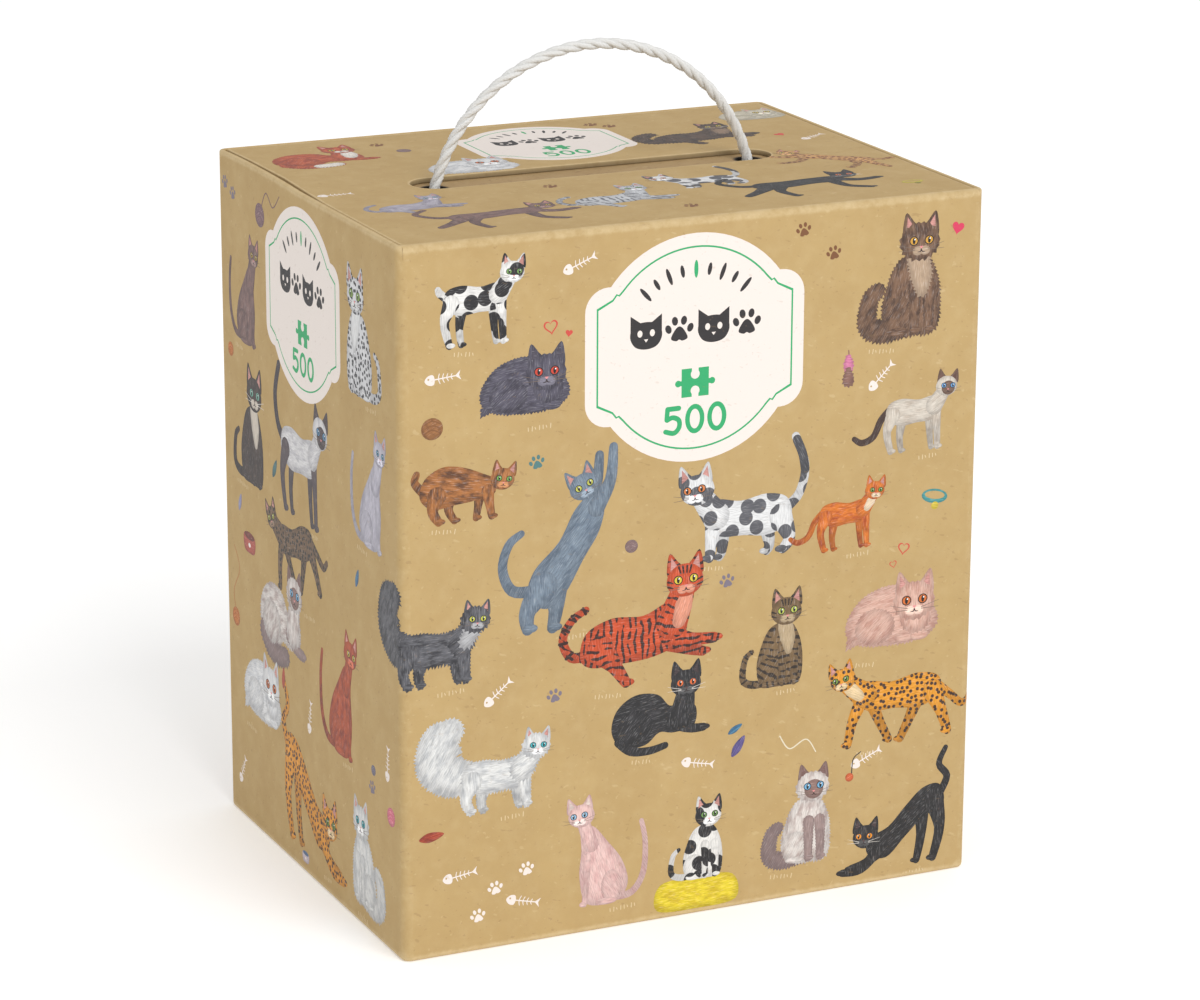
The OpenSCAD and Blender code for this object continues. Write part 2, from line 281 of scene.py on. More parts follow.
def make_print():
    """Printed ink: the picture's own colours with coat markings, brush strokes and the paper's tooth."""
    material, tree, shader, place = new_material("print_ink")
    strokes = put(tree, "ShaderNodeUVMap", uv_map="brush_map").outputs[0]
    first = stored(tree, "ink", "Color")
    second = stored(tree, "second_ink", "Color")
    marks = stored(tree, "marking", "Color")
    tone = stored(tree, "tone")
    kinds = put(tree, "ShaderNodeSeparateColor", {0: marks}).outputs
    bands = put(tree, "ShaderNodeTexWave", {"Vector": strokes, "Scale": 0.17, "Distortion": 4.5,
                                            "Detail": 2.0, "Detail Scale": 1.3},
                wave_type="BANDS", bands_direction="X").outputs["Fac"]
    gaps = noise(tree, strokes, 0.34, 1.0, 0.5)
    bands = calc(tree, "SUBTRACT", bands, spread(tree, gaps, 0.56, 0.36, 0.0, 0.45))
    soft = noise(tree, strokes, 0.42, 3.0, 0.6, ((1.8, 0.8, 1.0), (0.0, 0.0, 0.0)))
    dots = put(tree, "ShaderNodeTexVoronoi", {"Vector": strokes, "Scale": 0.62, "Randomness": 0.8},
               voronoi_dimensions="2D").outputs["Distance"]
    blots = put(tree, "ShaderNodeTexVoronoi", {"Vector": strokes, "Scale": 0.19, "Randomness": 0.9},
                voronoi_dimensions="2D").outputs["Distance"]
    mask = calc(tree, "MULTIPLY", spread(tree, soft, 0.4, 0.66), marks.node.outputs["Alpha"])
    for seen, low, high, kind in ((bands, 0.5, 0.7, 0), (dots, 0.36, 0.26, 1), (blots, 0.4, 0.37, 2)):
        seen = calc(tree, "MULTIPLY", spread(tree, seen, low, high), kinds[kind])
        mask = calc(tree, "MAXIMUM", mask, seen)
    colour = mix_colour(tree, mask, first, second)
    hair = noise(tree, strokes, 1.0, 3.0, 0.6, ((2.6, 0.26, 1.0), (0.0, 0.0, 0.0)))
    wash = noise(tree, strokes, 0.3, 2.0, 0.5)
    dark = spread(tree, hair, 0.58, 0.3, 0.0, 0.3)
    bright = spread(tree, hair, 0.52, 0.75, 0.0, 0.2)
    painted = stored(tree, "painted")
    colour = mix_colour(tree, calc(tree, "MULTIPLY", dark, painted), colour, (0.0, 0.0, 0.0, 1.0))
    colour = mix_colour(tree, calc(tree, "MULTIPLY", bright, painted), colour, (1.0, 1.0, 1.0, 1.0))
    low_tone = spread(tree, tone, 0.0, 0.75, 0.55, 0.0)
    shade = calc(tree, "ADD", low_tone, spread(tree, wash, 0.5, 0.8, 0.0, 0.1))
    deep = mix_colour(tree, 0.55, colour, (0.05, 0.04, 0.06, 1.0), "MULTIPLY")
    colour = mix_colour(tree, calc(tree, "MULTIPLY", shade, painted), colour, deep)
    paper = use_group(tree, paper_group, {"Place": place, "Fibre Share": 0.5})
    colour = mix_colour(tree, calc(tree, "MULTIPLY", paper["Flecks"], 0.16), colour, rgb("a0825a"))
    feed(tree, shader, {"Base Color": colour,
                        "Roughness": spread(tree, hair, 0.3, 0.7, 0.5, 0.64)})
    add_bump(tree, shader, paper["Tooth"], 0.03)
    return material


def make_cotton():
    """Bleached cotton rope: off-white yarn with fine fibres and faint soiling."""
    material, tree, shader, place = new_material("cotton_rope")
    fibres = noise(tree, place, 3.2, 4.0, 0.7, ((1.0, 1.0, 0.35), (0.0, 0.6, 0.0)))
    soil = noise(tree, place, 0.09, 3.0, 0.6)
    colour = mix_colour(tree, spread(tree, fibres, 0.35, 0.7), rgb("ecebe7"), rgb("fefefc"))
    colour = mix_colour(tree, spread(tree, soil, 0.5, 0.8, 0.0, 0.2), colour, rgb("dedad2"))
    feed(tree, shader, {"Base Color": colour,
                        "Roughness": spread(tree, fibres, 0.3, 0.7, 0.7, 0.9),
                        "Sheen Weight": 0.25})
    add_bump(tree, shader, fibres, 0.12)
    return material


def make_film():
    """Clear polypropylene film, faintly blue, with crinkles whose ridges are painted whiter and more opaque as
    a painted highlight.
    """
    material, tree, shader, place = new_material("clear_film")
    folds = noise(tree, place, 0.055, 3.0, 0.55, ((1.0, 2.4, 1.0), (0.0, 0.0, 0.7)))
    crinkle = noise(tree, place, 0.22, 4.0, 0.6)
    ridge = calc(tree, "ABSOLUTE", calc(tree, "SUBTRACT", folds, 0.5))
    # Painted highlight: along the ridges the film goes whiter and less clear.
    ridge_and_highlight = spread(tree, ridge, 0.0, 0.05, 1.0, 0.0)
    feed(tree, shader, {"Base Color": mix_colour(tree, ridge_and_highlight, rgb("e2ecf0"), rgb("fafcfd")),
                        "Alpha": calc(tree, "ADD", calc(tree, "MULTIPLY", ridge_and_highlight, 0.16), 0.12),
                        "Roughness": spread(tree, crinkle, 0.3, 0.7, 0.06, 0.16)})
    add_bump(tree, shader, calc(tree, "ADD", ridge_and_highlight, crinkle), 0.7)
    return material


def make_guide_paper():
    """Coated white paper of the picture guide, very slightly mottled."""
    material, tree, shader, place = new_material("guide_paper")
    paper = use_group(tree, paper_group, {"Place": place, "Cloud Size": 30.0, "Fibre Share": 0.1})
    rubbed_and_highlit = use_group(tree, wear_and_highlight_group, {"Place": place, "Amount": 0.35})
    colour = mix_colour(tree, spread(tree, paper["Clouds"], 0.3, 0.7), rgb("f0eee7"), rgb("f7f6f1"))
    colour = mix_colour(tree, rubbed_and_highlit["Wear"], colour, rgb("dedad0"))
    feed(tree, shader, {"Base Color": colour,
                        "Roughness": spread(tree, paper["Clouds"], 0.2, 0.8, 0.32, 0.42)})
    add_bump(tree, shader, paper["Tooth"], 0.012)
    return material


def make_puzzle_board(pitch):
    """Cut puzzle pieces: printed on top, grey board on the sides and underneath."""
    material, tree, shader, place = new_material("puzzle_board")
    facing = put(tree, "ShaderNodeNewGeometry").outputs["True Normal"]
    up = put(tree, "ShaderNodeSeparateXYZ", {0: facing}).outputs[2]
    snapped = vector(tree, "SNAP", place, pitch)
    chance = put(tree, "ShaderNodeTexWhiteNoise", {"Vector": snapped}, noise_dimensions="3D").outputs
    moved = vector(tree, "SCALE", chance["Color"], 60.0)
    local = vector(tree, "ADD", place, moved)
    picture = noise(tree, local, 0.11, 2.0, 0.5)
    brush = noise(tree, local, 0.9, 3.0, 0.6, ((2.6, 0.5, 1.0), (0.0, 0.0, 0.8)))
    steps = put(tree, "ShaderNodeValToRGB", {0: picture})
    steps.color_ramp.interpolation = "EASE"
    stops = [(0.0, rgb("3a3c42")), (0.36, rgb("5c746c")), (0.44, rgb("d6be92")),
             (0.55, rgb("dcc8a0")), (0.6, rgb("ce783a")), (0.7, rgb("f0ece2"))]
    while len(steps.color_ramp.elements) < len(stops):
        steps.color_ramp.elements.new(0.5)
    for element, (at, colour) in zip(steps.color_ramp.elements, stops):
        element.position = at
        element.color = colour
    printed = mix_colour(tree, spread(tree, brush, 0.35, 0.65, 0.0, 0.28), steps.outputs[0],
                         (0.05, 0.04, 0.05, 1.0))
    paper = use_group(tree, paper_group, {"Place": place, "Cloud Size": 6.0, "Fibre Share": 0.6})
    grey = mix_colour(tree, paper["Clouds"], rgb("96938c"), rgb("b2afa7"))
    grey = mix_colour(tree, calc(tree, "MULTIPLY", paper["Flecks"], 0.5), grey, rgb("605e5c"))
    chosen = calc(tree, "GREATER_THAN", chance["Value"], 0.35)
    shown = calc(tree, "MULTIPLY", spread(tree, up, 0.7, 0.9), chosen)
    feed(tree, shader, {"Base Color": mix_colour(tree, shown, grey, printed),
                        "Roughness": calc(tree, "MULTIPLY_ADD", shown, -0.4, 0.82)})
    add_bump(tree, shader, paper["Tooth"], 0.03)
    return material


def make_floor_paint():
    """A pale seamless floor."""
    material, tree, shader, place = new_material("studio_floor")
    mottle = noise(tree, place, 0.004, 2.0, 0.5)
    paint = mix_colour(tree, mottle, (0.94, 0.94, 0.935, 1.0), (0.96, 0.96, 0.955, 1.0))
    feed(tree, shader, {"Base Color": paint,
                        "Roughness": 0.75,
                        "Emission Color": (1.0, 1.0, 1.0, 1.0),
                        "Emission Strength": 0.2})
    return material

# ---- mesh helpers

def add_object(name, data):
    """A new object in the scene."""
    made = bpy.data.objects.new(name, data)
    bpy.context.scene.collection.objects.link(made)
    return made


def new_piece(name, points, faces, materials, face_materials=None, wear_and_highlight=None, smooth=35.0):
    """A mesh object from points in millimetres."""
    mesh = bpy.data.meshes.new(name)
    mesh.from_pydata([Vector(point) * MM for point in points], [], faces)
    for material in materials:
        mesh.materials.append(material)
    if face_materials:
        mesh.polygons.foreach_set("material_index", face_materials)
    if wear_and_highlight is not None:
        mesh.attributes.new("wear_and_highlight", "FLOAT", "POINT").data.foreach_set("value", wear_and_highlight)
    mesh.shade_smooth()
    mesh.set_sharp_from_angle(angle=math.radians(smooth))
    return add_object(name, mesh)


def outward(obj, cut_ends=False):
    """Turns all faces of a closed mesh outwards, and may first cut its many-sided ends into triangles."""
    work = bmesh.new()
    work.from_mesh(obj.data)
    if cut_ends:
        bmesh.ops.triangulate(work, faces=[face for face in work.faces if len(face.verts) > 4])
    bmesh.ops.recalc_face_normals(work, faces=work.faces)
    work.to_mesh(obj.data)
    work.free()
    return obj


def smooth_bends(obj, flat):
    """Smooth shading, except on faces that lie along an axis."""
    for face in obj.data.polygons:
        face.use_smooth = max(abs(part) for part in face.normal) < flat


def bake_modifiers(obj):
    """Turns an object with modifiers into a plain mesh."""
    seen = obj.evaluated_get(bpy.context.evaluated_depsgraph_get())
    mesh = bpy.data.meshes.new_from_object(seen)
    obj.modifiers.clear()
    obj.data = mesh
    return obj


def grid_faces(rows, columns, close_rows=False, close_columns=False):
    """Four-sided faces over a grid of points stored row by row."""
    faces = []
    for i in range(rows if close_rows else rows - 1):
        for j in range(columns if close_columns else columns - 1):
            below, beside = (i + 1) % rows, (j + 1) % columns
            faces.append((i * columns + j, i * columns + beside, below * columns + beside,
                          below * columns + j))
    return faces


def end_faces(ring, count):
    """Faces that close the first and last ring of a thin strip, whose back half mirrors its front half."""
    return [(first + i, first + i + 1, first + ring - 2 - i, first + ring - 1 - i)
            for first in (0, count - ring) for i in range(ring // 2 - 1)]


def arc(centre, radius, start, end, steps):
    """Points of an arc in a plane, from one angle to another in degrees."""
    angles = [math.radians(start + (end - start) * i / steps) for i in range(steps + 1)]
    return [(centre[0] + radius * math.cos(a), centre[1] + radius * math.sin(a)) for a in angles]


def round_outline(half_w, half_d, radius, steps=8):
    """A rectangle about the middle with round corners."""
    outline = []
    for turn, (sign_x, sign_y) in enumerate(((1, 1), (-1, 1), (-1, -1), (1, -1))):
        centre = (sign_x * (half_w - radius), sign_y * (half_d - radius))
        outline += arc(centre, radius, 90 * turn, 90 * turn + 90, steps)
    return outline


def stadium(length, width, steps=16):
    """A slot with round ends about the middle."""
    reach = (length - width) / 2
    return arc((reach, 0), width / 2, -90, 90, steps) + arc((-reach, 0), width / 2, 90, 270, steps)


def cut_board(name, outline, holes, low, high, material, bevel=0.22, wear_and_highlight_band=1.4, place=None):
    """A flat piece of board with holes, its cut edges slightly rounded and marked for rubbed wear and a painted
    highlight.
    """
    work = bmesh.new()
    for loop in [outline] + list(holes):
        points = [work.verts.new((x * MM, y * MM, low * MM)) for x, y in loop]
        for i, point in enumerate(points):
            work.edges.new((point, points[(i + 1) % len(points)]))
    bmesh.ops.triangle_fill(work, use_beauty=True, edges=work.edges[:])
    flat = bmesh.ops.extrude_face_region(work, geom=work.faces[:])
    raised = [item for item in flat["geom"] if isinstance(item, bmesh.types.BMVert)]
    bmesh.ops.translate(work, verts=raised, vec=(0, 0, (high - low) * MM))
    bmesh.ops.recalc_face_normals(work, faces=work.faces)
    for sign in (1, -1):
        side = [face for face in work.faces if face.normal.z * sign > 0.9]
        bmesh.ops.inset_region(work, faces=side, thickness=wear_and_highlight_band * MM, use_even_offset=True,
                               use_boundary=True)
    mesh = bpy.data.meshes.new(name)
    work.to_mesh(mesh)
    work.free()
    mesh.materials.append(material)
    made = add_object(name, mesh)
    rounding = made.modifiers.new("rounding", "BEVEL")
    rounding.width = bevel * MM
    rounding.segments = 3
    rounding.limit_method = "ANGLE"
    rounding.angle_limit = math.radians(50)
    bake_modifiers(made)
    made.data.shade_smooth()
    made.data.set_sharp_from_angle(angle=math.radians(40))
    smooth_bends(made, 0.999)
    flat = np.array([vertex.co[:2] for vertex in made.data.vertices]) / MM
    near = np.min([distance_to(np.array(loop, float), flat) for loop in [outline] + list(holes)], 0)
    made.data.attributes.new("wear_and_highlight", "FLOAT", "POINT").data.foreach_set(
        "value", (near < wear_and_highlight_band * 0.6).astype(np.float32))
    if place:
        made.data.transform(place)
    return made


def distance_to(outline, points):
    """Distance of each point from a closed outline."""
    start, end = outline, np.roll(outline, -1, 0)
    span = end - start
    length = np.maximum((span ** 2).sum(1), 1e-12)
    share = ((points[:, None, :] - start[None]) * span[None]).sum(2) / length[None]
    nearest = start[None] + np.clip(share, 0, 1)[:, :, None] * span[None]
    return np.sqrt(((points[:, None, :] - nearest) ** 2).sum(2)).min(1)


def add_painted_shade(obj, depth):
    """Stores how much painted shade each point gets, from 0 to 1, where shadow falls in a recess."""
    data = obj.data.attributes.new("shade", "FLOAT", "POINT").data
    data.foreach_set("value", [depth(vertex.co / MM) for vertex in obj.data.vertices])


SIDES = {1: "right", -1: "left"}


def side_box(node, side):
    """A node's box, and its places across nearest the wall and furthest from it."""
    low, high = cad_box(node)
    return low, high, *((high.x, low.x) if side > 0 else (low.x, high.x))


def finish(obj, body, slot_name, *nodes):
    """Hands a finished piece to its body and hides the CAD nodes that it stands for. The slot name is not used.
    """
    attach(obj, body)
    if nodes:
        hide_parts(*nodes)
    return obj


# ---- the walls as one folded sleeve

def on_walls(run, lift=0.0):
    """Place and outward direction on the walls, run mm to the right of the front's middle."""
    left = (run + FLAT_W) % AROUND
    x, y, heading = -FLAT_W, -HALF_D, 0.0
    for length in (2 * FLAT_W, 2 * FLAT_D, 2 * FLAT_W, 2 * FLAT_D):
        ahead = (math.cos(heading), math.sin(heading))
        out = (ahead[1], -ahead[0])
        if left <= length:
            return x + ahead[0] * left + out[0] * lift, y + ahead[1] * left + out[1] * lift, out
        left -= length
        centre = (x + ahead[0] * length - out[0] * CORNER, y + ahead[1] * length - out[1] * CORNER)
        if left <= QUARTER:
            turn = heading - math.pi / 2 + left / CORNER
            out = (math.cos(turn), math.sin(turn))
            reach = CORNER + lift
            return centre[0] + out[0] * reach, centre[1] + out[1] * reach, out
        left -= QUARTER
        heading += math.pi / 2
        turn = heading - math.pi / 2
        x, y = centre[0] + math.cos(turn) * CORNER, centre[1] + math.sin(turn) * CORNER
    return x + out[0] * lift, y + out[1] * lift, out


CORNER_STEPS = 6
NOTCH_TOP = lid_low.z - CREASE_GAP
NOTCH_REACH = FLAT_W + QUARTER * 1.5 / CORNER_STEPS
LEFT_BULGE = 0.5
LEFT_BULGE_SPAN = 58.0


def wall_top(run):
    """Height of the top of the wall: the left one bulges up a little beside the rear half of the lid."""
    from_back = run - LEFT_START
    if run < -FLAT_W - QUARTER and 2.0 < from_back < LEFT_BULGE_SPAN:
        return HEIGHT + LEFT_BULGE * math.sin(math.pi * (from_back - 2.0) / (LEFT_BULGE_SPAN - 2.0)) ** 0.7
    return HEIGHT


def wall_stations():
    """Runs along the outline where the sleeve has a column of points, with each one's mark of wear and painted
    highlight.
    """
    stations, start, band = [], LEFT_START, 1.6
    for length in (2 * FLAT_D, 2 * FLAT_W, 2 * FLAT_D, 2 * FLAT_W):
        count = round(length / 4)
        stations += [(start + band + (length - 2 * band) * i / count, 0.0) for i in range(count + 1)]
        stations += [(start + length + QUARTER * i / CORNER_STEPS, 1.0) for i in range(CORNER_STEPS + 1)]
        start += length + QUARTER
    return stations


def wall_section(top):
    """Points across the board, as (depth from outside, height, mark of wear and painted highlight), up outside
    and down inside.
    """
    foot, crown = 1.0, 0.6
    rows = [(foot - foot * math.cos(a), foot - foot * math.sin(a), 1.0)
            for a in (math.pi / 2, math.pi / 3, math.pi / 6, 0.0)]
    rows += [(0.0, foot + 1.8, 0.0), (0.0, HEIGHT / 2, 0.0), (0.0, top - crown - 1.8, 0.0)]
    rows += [(crown - crown * math.cos(a), top - crown + crown * math.sin(a), 1.0)
             for a in (0.0, math.pi / 6, math.pi / 3, math.pi / 2)]
    rows += [(BOARD - 0.25, top, 0.7), (BOARD, top - 0.25, 0.5), (BOARD, top - 2.5, 0.0), (BOARD, 3.0, 0.0),
             (BOARD, 0.25, 0.3), (BOARD - 0.25, 0.0, 0.5)]
    return rows


OUTSIDE_ROWS = 13


def make_sleeve(print_board, inside_board):
    """All four walls, folded from one sheet, with a notch at the front for the lid's crease."""
    stations = wall_stations()
    points, wear_and_highlight_marks = [], []
    for run, wear_and_highlight in stations:
        x, y, out = on_walls(run)
        for depth, height, edge in wall_section(NOTCH_TOP if abs(run) <= NOTCH_REACH else wall_top(run)):
            points.append((x - out[0] * depth, y - out[1] * depth, height))
            # Rounded edges and corners get the mark of wear and painted highlight.
            wear_and_highlight_marks.append(max(wear_and_highlight * 0.55, edge))
    rows = len(wall_section(HEIGHT))
    faces = grid_faces(len(stations), rows, close_rows=True, close_columns=True)
    kinds = [0 if i % rows < OUTSIDE_ROWS else 1 for i in range(len(faces))]
    sleeve = new_piece("carton_walls", points, faces, [print_board, inside_board], kinds, wear_and_highlight_marks)
    smooth_bends(outward(sleeve), 0.9999)
    return finish(sleeve, "carton", "kraft_print", "front_panel", "back_panel", "left_panel", "right_panel")


def make_glue_flap(inside_board):
    """The strip inside the back left corner that holds the sleeve together."""
    low, high = cad_box("glue_flap")
    width, length = high.y - low.y, high.z - low.z
    slant = 6.0
    outline = [(0, 0), (width, slant), (width, length - slant), (0, length)]
    stand = Matrix.Translation(Vector((low.x, high.y, low.z)) * MM) @ Matrix(
        ((0, 0, 1, 0), (-1, 0, 0, 0), (0, 1, 0, 0), (0, 0, 0, 1)))
    flap = outward(cut_board("glue_flap_board", outline, [], 0, BOARD, inside_board, place=stand))
    return finish(flap, "carton", "kraft_inside", "glue_flap")


def make_base(print_board, inside_board):
    """The base: an outer panel, two side flaps and a locking flap with its tongue."""
    outline = round_outline(base_high.x, base_high.y, 1.5)
    panel = cut_board("base_board", outline, [], base_low.z, base_high.z, print_board)
    finish(panel, "carton", "kraft_print", "base_panel")
    for side in (1, -1):
        node = "base_flap_" + SIDES[side]
        low, high, root, tip = side_box(node, side)
        outline = [(root, low.y + 1), (root, high.y - 1), (root - side * 6, high.y), (tip, high.y - 14),
                   (tip, low.y + 14), (root - side * 6, low.y)]
        flap = cut_board(node + "_board", outline, [], low.z, high.z, inside_board)
        finish(flap, "carton", "kraft_inside", node)
    low, high = cad_box("base_lock_flap")
    tongue, tongue_length = 35.0, 14.0
    outline = [(low.x, low.y), (high.x, low.y), (high.x - 8, high.y - tongue_length),
               (tongue, high.y - tongue_length), (tongue - 6, high.y), (6 - tongue, high.y),
               (-tongue, high.y - tongue_length), (low.x + 8, high.y - tongue_length)]
    lock = cut_board("base_lock_board", outline, [], low.z, high.z, inside_board)
    finish(lock, "carton", "kraft_inside", "base_lock_flap")


# ---- lid

def make_lid(print_board, inside_board):
    """The slotted lid, set back a little behind its front crease, with a printed top."""
    front = lid_low.y + 0.9
    outline = [(lid_low.x - 0.3, front), (lid_high.x, front), (lid_high.x, lid_high.y)]
    left_gaps = ((0.2, lid_high.y), (0.9, 46), (1.2, 22), (0.4, 4), (-0.3, -12))
    outline += [(lid_low.x + gap, y) for gap, y in left_gaps]
    lid = cut_board("lid_board", outline, [stadium(SLOT_LENGTH, SLOT_WIDTH)], lid_low.z, lid_high.z,
                    print_board, bevel=0.3)
    lid.data.materials.append(inside_board)
    for face in lid.data.polygons:
        face.material_index = 1 if face.normal.z < -0.7 else 0

    # Painted shade on the slot's walls, darker further down.
    def slot_painted_shade(place):
        beside = max(0.0, abs(place.x) - (SLOT_LENGTH - SLOT_WIDTH) / 2)
        inside = math.hypot(beside, place.y) < SLOT_WIDTH / 2 + 0.1 and place.z < lid_high.z - 0.1
        return (0.3 + 0.4 * (lid_high.z - place.z) / BOARD) if inside else 0.0

    add_painted_shade(lid, slot_painted_shade)
    return finish(lid, "lid", "kraft_print", "lid_panel")


def make_handle_tray(inside_board):
    """The board glued under the lid, with the two rope holes."""
    holes = [[(sign * HOLE_X + x, y) for x, y in arc((0, 0), HOLE / 2, 0, 345, 23)] for sign in (-1, 1)]
    outline = round_outline(tray_high.x, tray_high.y, 6.0)
    tray = cut_board("handle_tray", outline, holes, tray_low.z, tray_high.z, inside_board, bevel=0.2,
                     wear_and_highlight_band=1.2)
    # Painted shade: the walls of the rope holes are darkened nearly to black.
    add_painted_shade(tray, lambda place: float(math.hypot(abs(place.x) - HOLE_X, place.y) < HOLE / 2 + 0.3))
    return finish(tray, "lid", "kraft_inside", "handle_board")


def make_tuck(print_board):
    """The tuck flap that hangs from the lid's rear crease."""
    half, start, length = tuck_high.x, 1.05, 14.0
    outline = [(-half, start), (half, start), (half - 3, length - 5), (half - 5, length - 1.8),
               (half - 10, length), (10 - half, length), (5 - half, length - 1.8), (3 - half, length - 5)]
    crease = Vector((0, lid_high.y - BOARD / 2, HEIGHT - BOARD / 2)) * MM
    place = (Matrix.Translation(crease) @ Matrix.Rotation(math.radians(-90 - TUCK_LEAN), 4, "X")
             @ Matrix.Translation((0, 0, -BOARD / 2 * MM)))
    tuck = cut_board("tuck_board", outline, [], 0, BOARD, print_board, place=place)
    return finish(tuck, "tuck", "kraft_print", "tuck_flap")


def make_dust_flap(side, inside_board):
    """A dust flap that lies under the lid, with a slanted front and a clipped rear corner."""
    name = "dust_flap_" + SIDES[side]
    low, high, root, tip = side_box(name, side)
    outline = [(root - side * 0.3, low.y), (root - side * 0.3, high.y), (tip + side * 5, high.y),
               (tip, high.y - 6), (tip, low.y + 14)]
    flap = cut_board(name + "_board", outline, [], low.z, high.z, inside_board)
    return finish(outward(flap), "dust_" + SIDES[side], "kraft_inside", name)


def make_crease(name, path, thickness, half_width, material, wear_and_highlight, steps=24):
    """A thin skin of board along X that bends over a crease, from a path of (y, z) points."""
    along = [-half_width + 2 * half_width * i / steps for i in range(steps + 1)]
    inner = []
    for i, (y, z) in enumerate(path):
        before, after = path[max(i - 1, 0)], path[min(i + 1, len(path) - 1)]
        ahead = Vector((after[0] - before[0], after[1] - before[1])).normalized()
        inner.append((y + ahead.y * thickness, z - ahead.x * thickness))
    ring = list(path) + inner[::-1]
    marks = list(wear_and_highlight) + list(wear_and_highlight)[::-1]
    points = [(x, y, z) for x in along for y, z in ring]
    faces = grid_faces(len(along), len(ring), close_columns=True)
    faces += [tuple(range(len(ring))), tuple(range(len(points) - len(ring), len(points)))[::-1]]
    skin = outward(new_piece(name, points, faces, [material], wear_and_highlight=marks * len(along)))
    outward(skin, cut_ends=True)
    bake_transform(skin)
    return skin


SKIN = 0.02
SKIN_THICKNESS = 0.16


def make_creases(print_board, inside_board):
    """The bent board at the front of the lid and at the tuck flap."""
    bend = 1.5
    middle = (-HALF_D + bend, HEIGHT - bend)
    path = [(-HALF_D - SKIN, NOTCH_TOP - 1.6), (-HALF_D - SKIN, NOTCH_TOP - 0.4)]
    path += arc(middle, bend + SKIN, 180, 90, 8) + [(middle[0] + 1.1, HEIGHT + SKIN)]
    # The bend of the lid's crease is marked high: lighter partly as wear, partly as a painted highlight.
    wear_and_highlight = [0.0, 0.5] + [0.85] * 9 + [0.0]
    make_crease("lid_crease", path, SKIN_THICKNESS, lid_high.x + 0.46, print_board, wear_and_highlight)
    rear = (lid_high.y - BOARD / 2, HEIGHT - BOARD / 2)
    lean = math.radians(TUCK_LEAN)
    path = [(rear[0] - 1.2, HEIGHT + SKIN)] + arc(rear, BOARD / 2 + SKIN, 90, -TUCK_LEAN, 8)
    last = path[-1]
    path += [(last[0] - math.sin(lean) * run, last[1] - math.cos(lean) * run) for run in (1.2, 2.4)]
    # The bend of the tuck crease is marked high in the same way: partly wear, partly a painted highlight.
    wear_and_highlight = [0.1] + [0.9] * 9 + [0.4, 0.0]
    make_crease("tuck_crease_skin", path, SKIN_THICKNESS, tuck_high.x, print_board, wear_and_highlight)


def make_dust_crease(side, inside_board):
    """The thin ply that joins a dust flap to its side wall."""
    node = "dust_flap_" + SIDES[side]
    low, high = cad_box(node)
    wall = side * (HALF_W - BOARD)
    across = [(wall + side * 0.3, high.z - 1.6), (wall - side * 0.02, high.z - 0.9),
              (wall - side * 0.35, high.z - 0.2), (wall - side * 1.0, high.z + SKIN),
              (wall - side * 2.4, high.z + SKIN)]
    thick = 0.1
    ring = across + [(x, z - thick) for x, z in across[::-1]]
    along = [low.y + 0.5 + (high.y - low.y - 1.0) * i / 20 for i in range(21)]
    points = [(x, y, z) for y in along for x, z in ring]
    faces = grid_faces(len(along), len(ring), close_columns=True)
    faces += end_faces(len(ring), len(points))
    # The whole dust crease is marked: lighter partly as wear, partly as a painted highlight along the fold.
    skin = outward(new_piece(node + "_crease", points, faces, [inside_board], wear_and_highlight=[0.8] * len(points)))
    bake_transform(skin)
    return skin


# ---- rope handle

